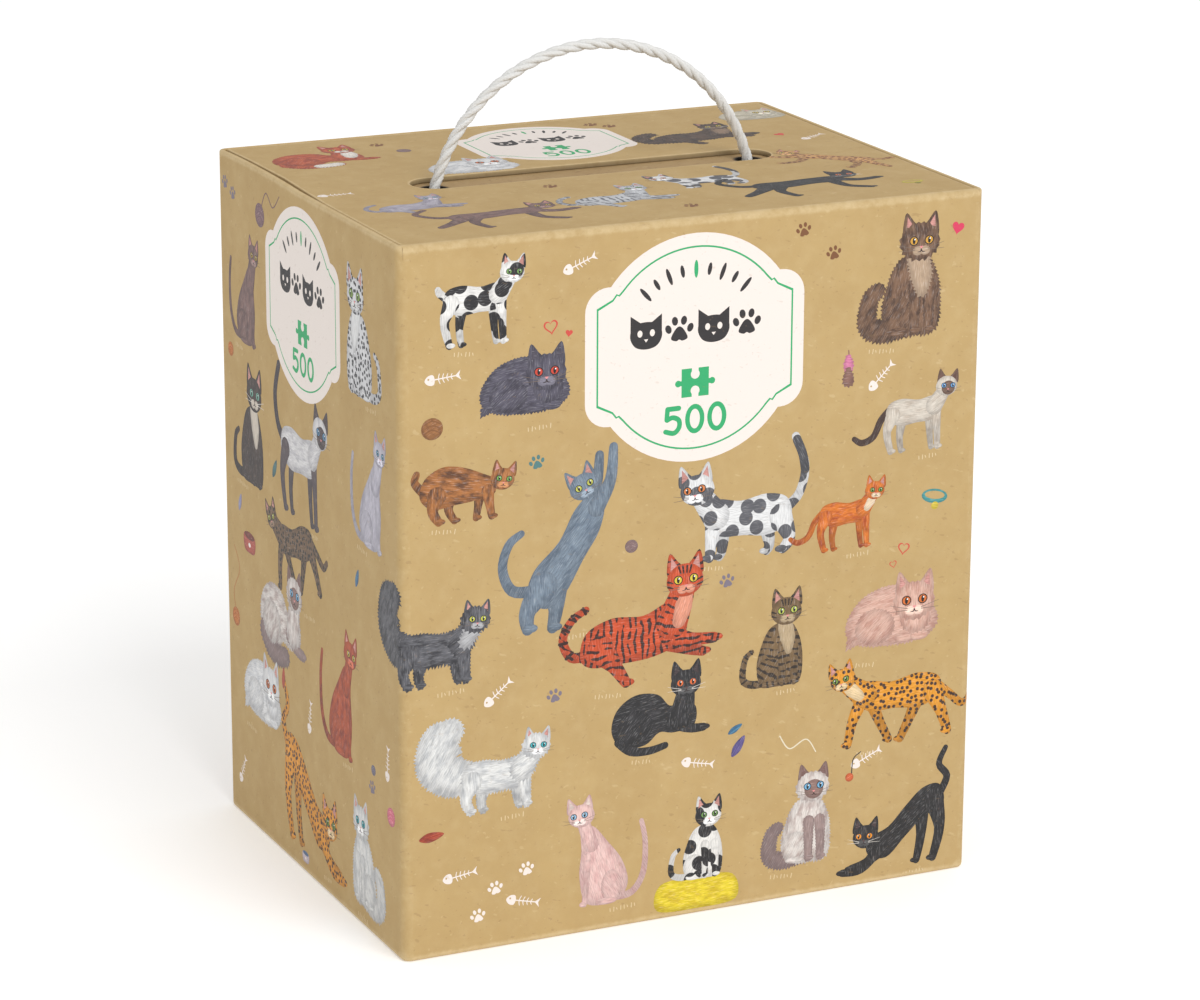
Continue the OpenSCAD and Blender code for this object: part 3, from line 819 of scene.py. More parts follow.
def make_rope_tree():
    """Geometry Nodes: twists strands of lobed yarn round a curve and caps their ends."""
    tree = bpy.data.node_groups.new("twisted_rope", "GeometryNodeTree")
    tree.is_modifier = True
    tree.interface.new_socket("Line", in_out="INPUT", socket_type="NodeSocketGeometry")
    for name, kind in (("Rope Diameter", "Float"), ("Strands", "Int"), ("Rings", "Int"),
                       ("Rope Turns", "Float"), ("Yarn Turns", "Float"), ("Yarns", "Int"),
                       ("Yarn Relief", "Float"), ("Yarn", "Material")):
        tree.interface.new_socket(name, in_out="INPUT", socket_type="NodeSocket" + kind)
    tree.interface.new_socket("Rope", in_out="OUTPUT", socket_type="NodeSocketGeometry")
    given = tree.nodes.new("NodeGroupInput").outputs
    result = tree.nodes.new("NodeGroupOutput").inputs

    line = put(tree, "GeometryNodeResampleCurve", {"Curve": given["Line"], "Count": given["Rings"]})
    copies = put(tree, "GeometryNodeDuplicateElements", {"Geometry": line.outputs[0],
                                                         "Amount": given["Strands"]}, domain="SPLINE")
    along = tree.nodes.new("GeometryNodeSplineParameter").outputs["Factor"]
    share = calc(tree, "DIVIDE", copies.outputs["Duplicate Index"], given["Strands"])
    angle = calc(tree, "MULTIPLY_ADD", along, given["Rope Turns"], share)
    angle = calc(tree, "MULTIPLY", angle, 2 * math.pi)
    strand_radius = calc(tree, "MULTIPLY", given["Rope Diameter"], 0.285)
    reach = calc(tree, "SUBTRACT", calc(tree, "MULTIPLY", given["Rope Diameter"], 0.5), strand_radius)
    normal = tree.nodes.new("GeometryNodeInputNormal").outputs["Normal"]
    tangent = tree.nodes.new("GeometryNodeInputTangent").outputs["Tangent"]
    beside = vector(tree, "CROSS_PRODUCT", tangent, normal)
    around = vector(tree, "ADD", vector(tree, "SCALE", normal, calc(tree, "COSINE", angle)),
                    vector(tree, "SCALE", beside, calc(tree, "SINE", angle)))
    offset = vector(tree, "SCALE", around, reach)
    strands = put(tree, "GeometryNodeSetPosition", {"Geometry": copies.outputs[0], "Offset": offset})
    tilt = calc(tree, "MULTIPLY", calc(tree, "MULTIPLY", along, given["Yarn Turns"]), 2 * math.pi)
    tilted = put(tree, "GeometryNodeSetCurveTilt", {"Curve": strands.outputs[0], "Tilt": tilt})

    ring = put(tree, "GeometryNodeCurvePrimitiveCircle", {"Resolution": 20, "Radius": strand_radius},
               mode="RADIUS")
    turn = put(tree, "GeometryNodeSplineParameter").outputs["Factor"]
    turn = calc(tree, "MULTIPLY", turn, 2 * math.pi)
    lobes = calc(tree, "COSINE", calc(tree, "MULTIPLY", turn, given["Yarns"]))
    growth = calc(tree, "MULTIPLY", lobes, given["Yarn Relief"])
    place = tree.nodes.new("GeometryNodeInputPosition").outputs["Position"]
    grown = vector(tree, "SCALE", place, growth)
    yarn = put(tree, "GeometryNodeSetPosition", {"Geometry": ring.outputs["Curve"], "Offset": grown})
    tube = put(tree, "GeometryNodeCurveToMesh", {"Curve": tilted.outputs[0], "Fill Caps": True,
                                                 "Profile Curve": yarn.outputs[0]})
    smooth = put(tree, "GeometryNodeSetShadeSmooth", {"Geometry": tube.outputs[0]})
    real = put(tree, "GeometryNodeRealizeInstances", {"Geometry": smooth.outputs[0]})
    final = put(tree, "GeometryNodeSetMaterial", {"Geometry": real.outputs[0], "Material": given["Yarn"]})
    tree.links.new(final.outputs[0], result["Rope"])
    return tree


def twist_rope(name, route, cotton, rings, rope_turns, yarn_turns, closed=False):
    """A twisted rope along a route in millimetres."""
    curve = bpy.data.curves.new(name, "CURVE")
    curve.dimensions = "3D"
    spline = curve.splines.new("POLY")
    spline.points.add(len(route) - 1)
    for point, (x, y, z) in zip(spline.points, route):
        point.co = (x * MM, y * MM, z * MM, 1.0)
    spline.use_cyclic_u = closed
    line = add_object(name + "_line", curve)
    twist = line.modifiers.new("twist", "NODES")
    twist.node_group = rope_tree
    values = {"Rope Diameter": ROPE_D * MM, "Strands": 3, "Rings": rings, "Rope Turns": rope_turns,
              "Yarn Turns": yarn_turns, "Yarns": 5, "Yarn Relief": 0.035, "Yarn": cotton}
    for item in rope_tree.interface.items_tree:
        if item.name in values:
            twist[item.identifier] = values[item.name]
    mesh = bpy.data.meshes.new_from_object(line.evaluated_get(bpy.context.evaluated_depsgraph_get()))
    bpy.data.objects.remove(line)
    return outward(add_object(name, mesh), cut_ends=True)


def make_rope(cotton):
    """The carrying rope: an arc that stands on the two holes, down to its knots."""
    start = math.asin((KNOT_Z - ROPE_MIDDLE) / ROPE_ARC)
    count = 160
    angles = [start + (math.pi - 2 * start) * i / count for i in range(count + 1)]
    route = [(ROPE_ARC * math.cos(a), 0.0, ROPE_MIDDLE + ROPE_ARC * math.sin(a)) for a in angles]
    rope = twist_rope("carrying_rope", route, cotton, 190, 10.5, 26.0)
    return finish(rope, "handle", "rope", "handle_rope")


KNOT_REACH = 3.95


def make_knot(side, cotton):
    """A tight overhand knot, closed on itself."""
    loops, count = 0.86, 90
    route = []
    for i in range(count):
        t = 2 * math.pi * i / count
        route.append((side * KNOT_X + loops * (math.sin(t) + 2 * math.sin(2 * t)),
                      loops * (math.cos(t) - 2 * math.cos(2 * t)), KNOT_Z - 1.5 * math.sin(3 * t)))
    knot = twist_rope("stopper_knot_" + SIDES[side], route, cotton, 90, 2.0, 5.0, closed=True)
    middle = Vector((side * KNOT_X, 0, KNOT_Z))
    for vert in knot.data.vertices:
        local = vert.co / MM - middle
        if local.length > KNOT_REACH:
            vert.co = (middle + local.normalized() * KNOT_REACH) * MM
    return finish(knot, "handle", "rope", "rope_knot_" + SIDES[side])


# ---- contents

def make_bag(film_look):
    """The clear bag: a rounded pouch with a crinkled top and pinched edges."""
    low, high = cad_box("piece_bag")
    top = high.z - 0.8
    film = 0.12
    outline = round_outline(high.x, high.y, 9.0, 6)
    levels = [0.0, 0.4, 2.0] + [2.0 + (top - low.z - 4.0) * i / 10 for i in range(1, 10)]
    levels += [top - low.z - 2.0, top - low.z - 0.4, top - low.z]
    inset = [1.4, 0.4, 0.0] + [0.0] * 9 + [0.0, 0.4, 1.4]
    rings = []
    for level, back in zip(levels, inset):
        ring = []
        for i, (x, y) in enumerate(outline):
            away = Vector((x, y)).normalized()
            crimp = 0.35 * (0.5 + 0.5 * math.sin(i * 2.1 + level * 0.45)) * (1 if 1 < level < 48 else 0)
            ring.append((x - away.x * (back + crimp), y - away.y * (back + crimp), low.z + level))
        rings.append(ring)
    count = len(outline)
    for end, ring in ((0, rings[0]), (-1, rings[-1])):
        for shrink in (0.94, 0.86, 0.74, 0.6, 0.45, 0.3, 0.15):
            wave = [(x * shrink, y * shrink, z + (0.35 * math.sin(x * 0.31 + y * 0.23) * math.sin(y * 0.4)
                                                 if end else 0.0)) for x, y, z in ring]
            rings = [wave] + rings if end == 0 else rings + [wave]
    points = [point for ring in rings for point in ring]
    faces = grid_faces(len(rings), count, close_columns=True)
    bottom, lid_point = len(points), len(points) + 1
    points += [(0.0, 0.0, rings[0][0][2]), (0.0, 0.0, top)]
    last = (len(rings) - 1) * count
    for i in range(count):
        faces.append((bottom, (i + 1) % count, i))
        faces.append((lid_point, last + i, last + (i + 1) % count))
    bag = outward(new_piece("clear_bag", points, faces, [film_look], smooth=60.0))
    shell = bag.modifiers.new("film", "SOLIDIFY")
    shell.thickness = film * MM
    shell.offset = -1.0
    bake_modifiers(bag)
    return finish(bag, "carton", "clear_film", "piece_bag")


def make_bag_seam(film_look):
    """The heat-sealed seam on top of the bag, ribbed across by the sealing bar."""
    low, high = cad_box("piece_bag")
    half, width, count = high.x - 9.0, 5.0, 150
    points = []
    for i in range(count + 1):
        x = -half + 2 * half * i / count
        rib = 0.1 if i % 2 else 0.0
        points += [(x, -width, high.z - 0.75), (x, width, high.z - 0.75), (x, width, high.z - 0.3 - rib),
                   (x, -width, high.z - 0.3 - rib)]
    faces = grid_faces(count + 1, 4, close_columns=True) + [(0, 1, 2, 3)]
    faces.append(tuple(range(count * 4, count * 4 + 4))[::-1])
    seam = outward(new_piece("bag_seam", points, faces, [film_look], smooth=20.0))
    return finish(seam, "carton", "clear_film")


GUIDE_LEAF = 0.22


def leaf_spring(x, y):
    """How far the guide's upper leaf has sprung up at a place."""
    return 0.1 * math.sin(y * 0.05) * math.sin(x * 0.045 + 1.0)


def make_guide(paper):
    """The picture guide: a sheet folded once, its leaves slightly sprung apart."""
    low, high = cad_box("picture_guide")
    leaf, steps = GUIDE_LEAF, 26
    middle = (low.z + high.z) / 2
    fold = (high.z - low.z) / 2 - leaf
    depth = high.y - low.y - fold - leaf
    across = []
    for sign in (1, -1):
        run = [(low.y + fold + leaf + depth * i / steps, middle + sign * fold) for i in range(steps + 1)]
        across.append(run if sign > 0 else run[::-1])
    bend = arc((low.y + fold + leaf, middle), fold, 270, 90, 8)[1:-1]
    line = across[1] + bend + across[0]
    columns = 30
    points, wear_and_highlight = [], []
    for j in range(columns + 1):
        x = low.x + (high.x - low.x) * j / columns
        for offset, order in ((leaf / 2, line), (-leaf / 2, line[::-1])):
            for i, (y, z) in enumerate(order):
                spring = leaf_spring(x, y - low.y) if z > middle else 0.0
                source = order if offset > 0 else line
                index = i if offset > 0 else len(line) - 1 - i
                before, after = source[max(index - 1, 0)], source[min(index + 1, len(line) - 1)]
                ahead = Vector((after[0] - before[0], after[1] - before[1])).normalized()
                points.append((x, y + ahead.y * -offset, z + ahead.x * offset + spring))
                wear_and_highlight.append(1.0 if j in (0, columns) or y > high.y - 1 or y < low.y + 1 else 0.0)
    ring = 2 * len(line)
    faces = grid_faces(columns + 1, ring, close_columns=True)
    faces += end_faces(ring, len(points))
    guide = outward(new_piece("picture_guide_sheet", points, faces, [paper], wear_and_highlight=wear_and_highlight))
    return finish(guide, "carton", "guide_paper", "picture_guide")

# ---- drawing flat printed pictures

def at(places):
    """Points from text such as 1,2 3,4."""
    return np.array([[float(value) for value in place.split(",")] for place in places.split()])


def smooth_line(points, steps=6, closed=True):
    """A smooth curve through the points."""
    points = [np.array(point, float) for point in points]
    count = len(points)
    line = []
    for i in range(count if closed else count - 1):
        if closed:
            a, b, c, d = (points[(i + k) % count] for k in (-1, 0, 1, 2))
        else:
            a, b, c, d = (points[min(max(i + k, 0), count - 1)] for k in (-1, 0, 1, 2))
        for t in np.arange(steps) / steps:
            line.append(0.5 * (2 * b + (c - a) * t + (2 * a - 5 * b + 4 * c - d) * t ** 2
                               + (3 * b - a - 3 * c + d) * t ** 3))
    if not closed:
        line.append(points[-1])
    return np.array(line)


def oval(x, y, half_w, half_h, turn=0.0, steps=20):
    """An ellipse outline."""
    angle = np.linspace(0, 2 * math.pi, steps, endpoint=False)
    flat = np.stack([half_w * np.cos(angle), half_h * np.sin(angle)], 1)
    c, s = math.cos(math.radians(turn)), math.sin(math.radians(turn))
    return flat @ np.array([[c, s], [-s, c]]) + (x, y)


def limb(points, widths, steps=5, cap=5):
    """A tapered stroke with round ends along a smooth line. Widths are half widths."""
    line = smooth_line(points, steps, closed=False)
    at = np.linspace(0, len(widths) - 1, len(line))
    half = np.interp(at, range(len(widths)), widths)
    ahead = np.gradient(line, axis=0)
    ahead /= np.maximum(np.linalg.norm(ahead, axis=1), 1e-9)[:, None]
    beside = np.stack([-ahead[:, 1], ahead[:, 0]], 1) * half[:, None]
    ends = []
    for k, sign in ((-1, 1), (0, -1)):
        start = math.atan2(ahead[k][1] * sign, ahead[k][0] * sign) + math.pi / 2
        angle = start - np.linspace(0, math.pi, cap + 2)[1:-1]
        ends.append(line[k] + half[k] * np.stack([np.cos(angle), np.sin(angle)], 1))
    return np.concatenate([line + beside, ends[0], (line - beside)[::-1], ends[1]])


def twice_area(outline):
    """Twice the area inside an outline, positive where it turns left."""
    beyond = np.roll(outline, -1, 0)
    return (outline[:, 0] * beyond[:, 1] - beyond[:, 0] * outline[:, 1]).sum()


def ruffle(outline, depth, step, seed):
    """An outline broken into tufts of fur."""
    chance = random.Random(seed)
    closed = np.vstack([outline, outline[:1]])
    run = np.concatenate([[0], np.cumsum(np.linalg.norm(np.diff(closed, axis=0), axis=1))])
    count = max(12, int(run[-1] / step) * 2)
    at = [run[-1] * (i + chance.uniform(-0.25, 0.25)) / count for i in range(count)]
    points = np.stack([np.interp(at, run, closed[:, 0]), np.interp(at, run, closed[:, 1])], 1)
    ahead = np.roll(points, -1, 0) - np.roll(points, 1, 0)
    ahead /= np.maximum(np.linalg.norm(ahead, axis=1), 1e-9)[:, None]
    out = np.stack([ahead[:, 1], -ahead[:, 0]], 1) * (1 if twice_area(points) > 0 else -1)
    push = np.array([chance.uniform(0.5, 1.0) if i % 2 else chance.uniform(-0.2, 0.0) for i in range(count)])
    tuft = (out + 0.4 * ahead + np.array([0.0, -0.25])) * (push * depth)[:, None]
    return points + out * depth * 0.55 + tuft


class Drawing:
    """Flat shapes in layers. Each new shape covers what lies under it, and a hole cuts everything."""

    def __init__(self):
        self.shapes = []

    def fill(self, outline, ink, second=None, marking=(0, 0, 0, 0), grain=0.0, painted=1.0):
        """Adds a shape in an ink, with markings in a second ink and strokes that run at grain degrees."""
        self.shapes.append({"outline": np.array(outline, float), "ink": ink, "second": second or ink,
                            "marking": marking, "grain": grain, "painted": painted})
        return self

    def plain(self, outline, ink):
        """Adds a shape in one even ink."""
        return self.fill(outline, ink, painted=0.0)

    def cut(self, outline):
        """Cuts a hole through all shapes drawn so far."""
        self.shapes.append({"outline": np.array(outline, float), "ink": None})
        return self

    def box(self):
        """Lowest and highest corner of everything drawn."""
        points = np.vstack([shape["outline"] for shape in self.shapes if shape["ink"]])
        return points.min(0), points.max(0)

    def placed(self, x, y, scale=1.0, turn=0.0, mirror=False, centred=True):
        """A copy scaled, turned and moved so that its middle, or its origin, is at x and y."""
        low, high = self.box()
        middle = (low + high) / 2 if centred else np.zeros(2)
        c, s = math.cos(math.radians(turn)), math.sin(math.radians(turn))
        copy = Drawing()
        for shape in self.shapes:
            points = (shape["outline"] - middle) * scale
            if mirror:
                points = points * (-1, 1)
            points = points @ np.array([[c, s], [-s, c]]) + (x, y)
            changed = dict(shape, outline=points)
            if shape["ink"]:
                changed["grain"] = (180 - shape["grain"] if mirror else shape["grain"]) + turn
            copy.shapes.append(changed)
        return copy

    def merge(self, other):
        """Adds another drawing's shapes on top."""
        self.shapes += other.shapes
        return self


# ---- cats

INK_DARK = rgb("2c282a")
INK_CREAM = rgb("f8ede5")
INK_GREEN = rgb("2daf6e")
INK_PINK = rgb("ec9696")


MARKINGS = {"stripe": (1, 0, 0, 0.2), "spot": (0, 1, 0, 0), "patch": (0, 0, 1, 0), "soft": (0, 0, 0, 1)}


def coat(furs, kind, eyes="d6be3c", ears="e2a096", fluff=0.0, slim=1.0, **parts):
    """A cat's colouring: one or two fur paints, and kind is stripe, spot, patch or soft."""
    paints = [rgb(code) for code in furs.split()]
    marking = MARKINGS[kind]
    look = {part: rgb(parts[part]) if part in parts else None for part in ("tip", "mask", "chest", "paws")}
    return dict(look, fur=paints[0], second=paints[-1], marking=marking, eyes=rgb(eyes), ears=rgb(ears),
                fluff=fluff, slim=slim)


COATS = {
    "cow": coat("f8f6f2 262428", "patch", eyes="78a05a"),
    "smoke": coat("605c6c 464252", "soft", eyes="d24632", ears="544e5c", fluff=1.6),
    "brown_long": coat("8a674e 583e30", "soft", eyes="d6a03c", chest="c4a88c", fluff=2.4),
    "pointed": coat("e2d8ca cec0b0", "soft", eyes="6ea0d2", tip="543c32", mask="7c5e4e", ears="78564a"),
    "rust": coat("ba763a 684026", "soft", eyes="78aa50"),
    "slate": coat("8292a2 6a7a8c", "soft", eyes="c8c85a"),
    "grey_white": coat("f0f0f0 626268", "patch", eyes="dc8246", tip="54545a"),
    "orange": coat("e87e1e bc5214", "soft", eyes="78a03c", chest="fae0be"),
    "tiger": coat("de5422 421a12", "stripe", eyes="e2c83c", chest="f0a082"),
    "tabby": coat("846844 382a1e", "stripe", eyes="bec85a", chest="c4ac88"),
    "peach": coat("e8bcaa d4a08e", "soft", eyes="d66e28", fluff=1.8),
    "storm": coat("68686e 3a3a40", "soft", eyes="c8c850", fluff=3.2, chest="bebec0"),
    "black": coat("222124 343236", "soft", eyes="e26e32", ears="46383a"),
    "snow": coat("f0f0ee ced0d2", "soft", eyes="46b4be", fluff=3.0),
    "gold_spot": coat("f0a01c 462814", "spot", eyes="78963c", chest="fadcaa"),
    "panther": coat("1e1c1e 2e2a2c", "soft", eyes="f0961e", ears="503c3c"),
    "seal": coat("eee6e0 c4b2ac", "soft", eyes="78b4dc", mask="96766e", ears="8c6862", tip="96807e",
                 paws="aa928e", fluff=2.2),
    "bare": coat("f4cec8 e8bab6", "soft", eyes="96bedc", ears="fae4da", slim=0.72),
    "kitten": coat("f6f4f0 222024", "patch", eyes="6e9650"),
    "mauve": coat("8e6e68 705452", "soft", eyes="c8aa3c"),
    "speckle": coat("e8e8ea 28282e", "spot", eyes="96b45a", chest="f0f0f0"),
    "dark_point": coat("483832 342826", "soft", eyes="78b4a0", chest="ded2c2"),
    "ivory": coat("eae8e8 ceccd0", "soft", eyes="6ea0c8", tip="463c42", mask="544648", ears="544244",
                  paws="5a4e52", slim=0.85),
    "pale": coat("cecad6 b8b4c2", "soft", eyes="78aac8"),
    "marble": coat("785c40 261e1a", "spot", eyes="bebe50"),
    "red": coat("c45420 963416", "soft", eyes="dcbe46", slim=0.82),
    "white": coat("f6f6f6 dcdee2", "soft", eyes="dc783c", fluff=2.0),
    "fox": coat("ce6032 aa4224", "soft", chest="f6eee4", tip="f6eee4", fluff=1.2),
    "lilac": coat("beb8c4 a09aaa", "soft", eyes="78aabe"),
    "silver": coat("d8dade 787a82", "stripe", eyes="82aa5a"),
    "choco": coat("5c4638 382a24", "soft", fluff=2.6, chest="967c66"),
    "shell": coat("e0d8c4 c4baa2", "soft", fluff=2.2),
    "clay_spot": coat("dea868 8c5028", "spot"),
}


def fur_shape(sheet, outline, look, grain=0.0, shade=0.0, part=None):
    """Adds a part of a cat in its coat, ruffled where the coat is long. Shade darkens a far part."""
    if look["fluff"]:
        outline = ruffle(outline, look["fluff"], 3.4, len(sheet.shapes) * 7 + 3)
    ink = look[part] if part and look[part] else look["fur"]
    second = ink if part and look[part] else look["second"]
    if shade:
        ink, second = (tuple(v * (1 - shade) for v in tone[:3]) + (1.0,) for tone in (ink, second))
    sheet.fill(outline, ink, second, look["marking"], grain)


def add_head(sheet, x, y, size, look, turn=0.0, tilt=0.0):
    """A cat's head, its features moved sideways by turn, leaning by tilt degrees."""
    face = Drawing()
    dark_coat = sum(look["fur"][:3]) < 0.25
    for side in (-1, 1):
        root = side * 0.55 + 0.12 * turn
        ear = [(root - side * 0.42, 0.66), (root - side * 0.14, 1.02), (root + side * 0.24, 1.46),
               (root + side * 0.4, 1.0), (root + side * 0.42, 0.3), (root, 0.3)]
        fur_shape(face, smooth_line(ear, 3), dict(look, fluff=0), 90, 0.12, "mask")
        inner = [(root - side * 0.16, 0.74), (root + side * 0.2, 1.26), (root + side * 0.26, 0.5)]
        face.fill(inner, look["ears"])
    skull = at("-1,-0.06 -0.84,0.46 -0.42,0.78 0,0.84 0.42,0.78 0.84,0.46 1,-0.06 0.8,-0.5 "
               "0.38,-0.78 0,-0.84 -0.38,-0.78 -0.8,-0.5")
    outline = smooth_line(skull, 3)
    if look["fluff"]:
        outline = ruffle(outline, 0.05 * look["fluff"], 0.3, 5)
    quiet = (0, look["marking"][1], look["marking"][2], look["marking"][3])
    face.fill(outline, look["fur"], look["second"], quiet, 90)
    if look["marking"][0] > 0.9:
        for side in (-1, 1):
            for lift in (-0.34, -0.08):
                stripe = [(side * 0.92, lift + 0.1), (side * 0.66, lift)]
                face.fill(limb(stripe, [0.06, 0.03]), look["second"])
    if look["mask"]:
        face.fill(oval(0.25 * turn, -0.16, 0.62, 0.6), look["mask"])
    shift = 0.24 * turn
    light = look["chest"] or tuple(min(1.0, v * 1.5 + 0.06) for v in look["fur"][:3]) + (1.0,)
    if not look["mask"]:
        for side in (-1, 1):
            face.fill(oval(shift + side * 0.2, -0.46, 0.28, 0.23), light)
    if look["marking"][0] > 0.9:
        for lean in (-0.34, -0.12, 0.12, 0.34):
            face.fill(limb([(lean * 0.7 + shift * 0.4, 0.36), (lean + shift * 0.4, 0.7)], [0.035, 0.06]),
                      look["second"])
    for side in (-1, 1):
        eye_x = shift + side * 0.42
        face.plain(oval(eye_x, 0.04, 0.25, 0.235, side * 14), rgb("141214") if not dark_coat
                   else rgb("3c383a"))
        face.plain(oval(eye_x, 0.04, 0.2, 0.185, side * 14), look["eyes"])
        face.plain(oval(eye_x + 0.02 * turn, 0.04, 0.075, 0.16), rgb("100e10"))
        face.plain(oval(eye_x + 0.05, 0.11, 0.04, 0.04, steps=8), rgb("ffffff"))
    face.plain([(shift - 0.11, -0.24), (shift + 0.11, -0.24), (shift, -0.37)],
               INK_PINK if not dark_coat else rgb("604242"))
    for side in (-1, 1):
        face.plain(limb([(shift, -0.38), (shift + side * 0.05, -0.5), (shift + side * 0.2, -0.52)],
                        [0.024, 0.028, 0.014], 3, 3), rgb("322424"))
        for lift in (0.0, 0.14):
            whisker = [(shift + side * 0.36, -0.42 + lift * 0.5), (shift + side * 1.25, -0.42 + lift * 2.2)]
            face.plain(limb(whisker, [0.018, 0.006], 3, 2), rgb("ece6de") if dark_coat else rgb("78685c"))
    sheet.merge(face.placed(x, y, size, tilt, centred=False))


def leg(sheet, points, widths, look, shade=0.0, paw=True):
    """A leg along a line, with a small paw that points forwards."""
    slim = look["slim"]
    short = dict(look, fluff=look["fluff"] * 0.4)
    fur_shape(sheet, limb(points, [w * slim for w in widths]), short, 90, shade, "paws")
    if paw:
        end = points[-1]
        pad = oval(end[0] + 1.6, end[1] + 0.2, widths[-1] * 1.3 * slim, widths[-1] * 0.72, steps=14)
        fur_shape(sheet, pad, dict(look, fluff=0), 0, shade, "paws")


def add_tail(sheet, points, widths, look):
    """A tail, with a differently coloured tip or rings where the coat has them."""
    width = [w * (1 + look["fluff"] * 0.42) for w in widths]
    whole = "tip" if look["mask"] else None
    fur_shape(sheet, limb(points, width), look, 60, 0.05, whole)
    line = smooth_line(points, 6, closed=False)
    if look["tip"] and not look["mask"]:
        cut = len(line) * 6 // 10
        fur_shape(sheet, limb(line[cut::3], [width[-2] * 1.03, width[-1] * 1.08]), look, 60, 0, "tip")
    if look["marking"][0] > 0.9:
        for k in range(3, len(line) - 1, 4):
            ahead = line[k + 1] - line[k]
            ahead = ahead / max(np.linalg.norm(ahead), 1e-9)
            reach = np.interp(k / (len(line) - 1) * (len(width) - 1), range(len(width)), width) * 0.82
            across = np.array([-ahead[1], ahead[0]]) * reach
            sheet.fill(limb([line[k] - across, line[k] + across], [1.1, 1.1], 2, 3), look["second"])


def add_neck(sheet, points, widths, look, grain):
    """A neck in the coat's own colour, with a lighter bib along its front where the coat has one."""
    slim = look["slim"]
    fur_shape(sheet, limb(points, [w * slim for w in widths]), look, grain)
    if look["chest"]:
        bib = [(x + 0.42 * w * slim, y) for (x, y), w in zip(points, widths)]
        fur_shape(sheet, limb(bib, [w * slim * share for w, share in zip(widths, (0.4, 0.62, 0.4))]), look,
                  grain, 0, "chest")


def draw_cat(rows, look, drop=0.0):
    """A cat from rows: a kind, its shade, grain or size, its places, and after a bar its half widths.

    Drop is how much shorter than usual the legs are."""
    s = Drawing()
    bare = dict(look, fluff=0)
    for row in rows.strip().splitlines():
        row, _, last = row.partition("|")
        kind, number, places = row.split(None, 2)
        number, line, widths = float(number), at(places), [float(width) for width in last.split()]
        line[:, 1] -= drop * np.minimum(1.0, line[:, 1] / 30)
        if kind == "tail":
            add_tail(s, line, widths, look)
        elif kind in ("leg", "arm"):
            leg(s, line, widths, look, number, kind == "leg")
        elif kind == "body":
            fur_shape(s, smooth_line(line, 5), look, number)
        elif kind == "haunch":
            fur_shape(s, oval(*line[0], line[1][0] * look["slim"], line[1][1]), look, number, widths[0])
        elif kind == "paw":
            fur_shape(s, oval(*line[0], *line[1]), bare, number)
        elif kind == "breast":
            fur_shape(s, oval(*line[0], *line[1]), look, number, 0, "chest")
        elif kind == "neck":
            add_neck(s, line, widths, look, number)
        elif kind == "head":
            add_head(s, *line[0], number, look, *widths)
        elif look["chest"]:
            fur_shape(s, limb(line, widths), look, number, 0, "chest")
    return s


STAND = """
leg 0.25 32,42 29,20 31,3 | 7 4.2 3.4
leg 0.25 66,42 67,20 69,3 | 6 4 3.2
body 0 11,48 16,60 32,64 52,61 70,64 80,58 79,44 68,36 50,35 32,33 16,38
leg 0 20,46 13,27 18,3 | 9.5 5 3.8
leg 0 74,48 76,24 77,3 | 7 4.4 3.6
neck 30 72,52 78,60 84,68 | 11 9.5 8
head 13.5 87,73 | 0.7 -4"""
TAILS = {"up": "tail 0 15,52 5,62 1,82 9,104 | 4.2 3.6 3.4 3.2",
         "low": "tail 0 15,52 5,42 -4,24 -18,18 -28,24 | 4.4 4.2 4 3.8 3",
         "bob": "tail 0 14,53 8,58 6,62 | 4.4 4.2 3.4",
         "plume": "tail 0 15,52 0,54 -14,68 -12,90 -2,100 | 6 8.5 10 9 5"}
STANDING = {"stand": ("up", 0), "short": ("up", 20), "bob": ("bob", 0), "low": ("low", 2),
            "plume": ("plume", 14)}
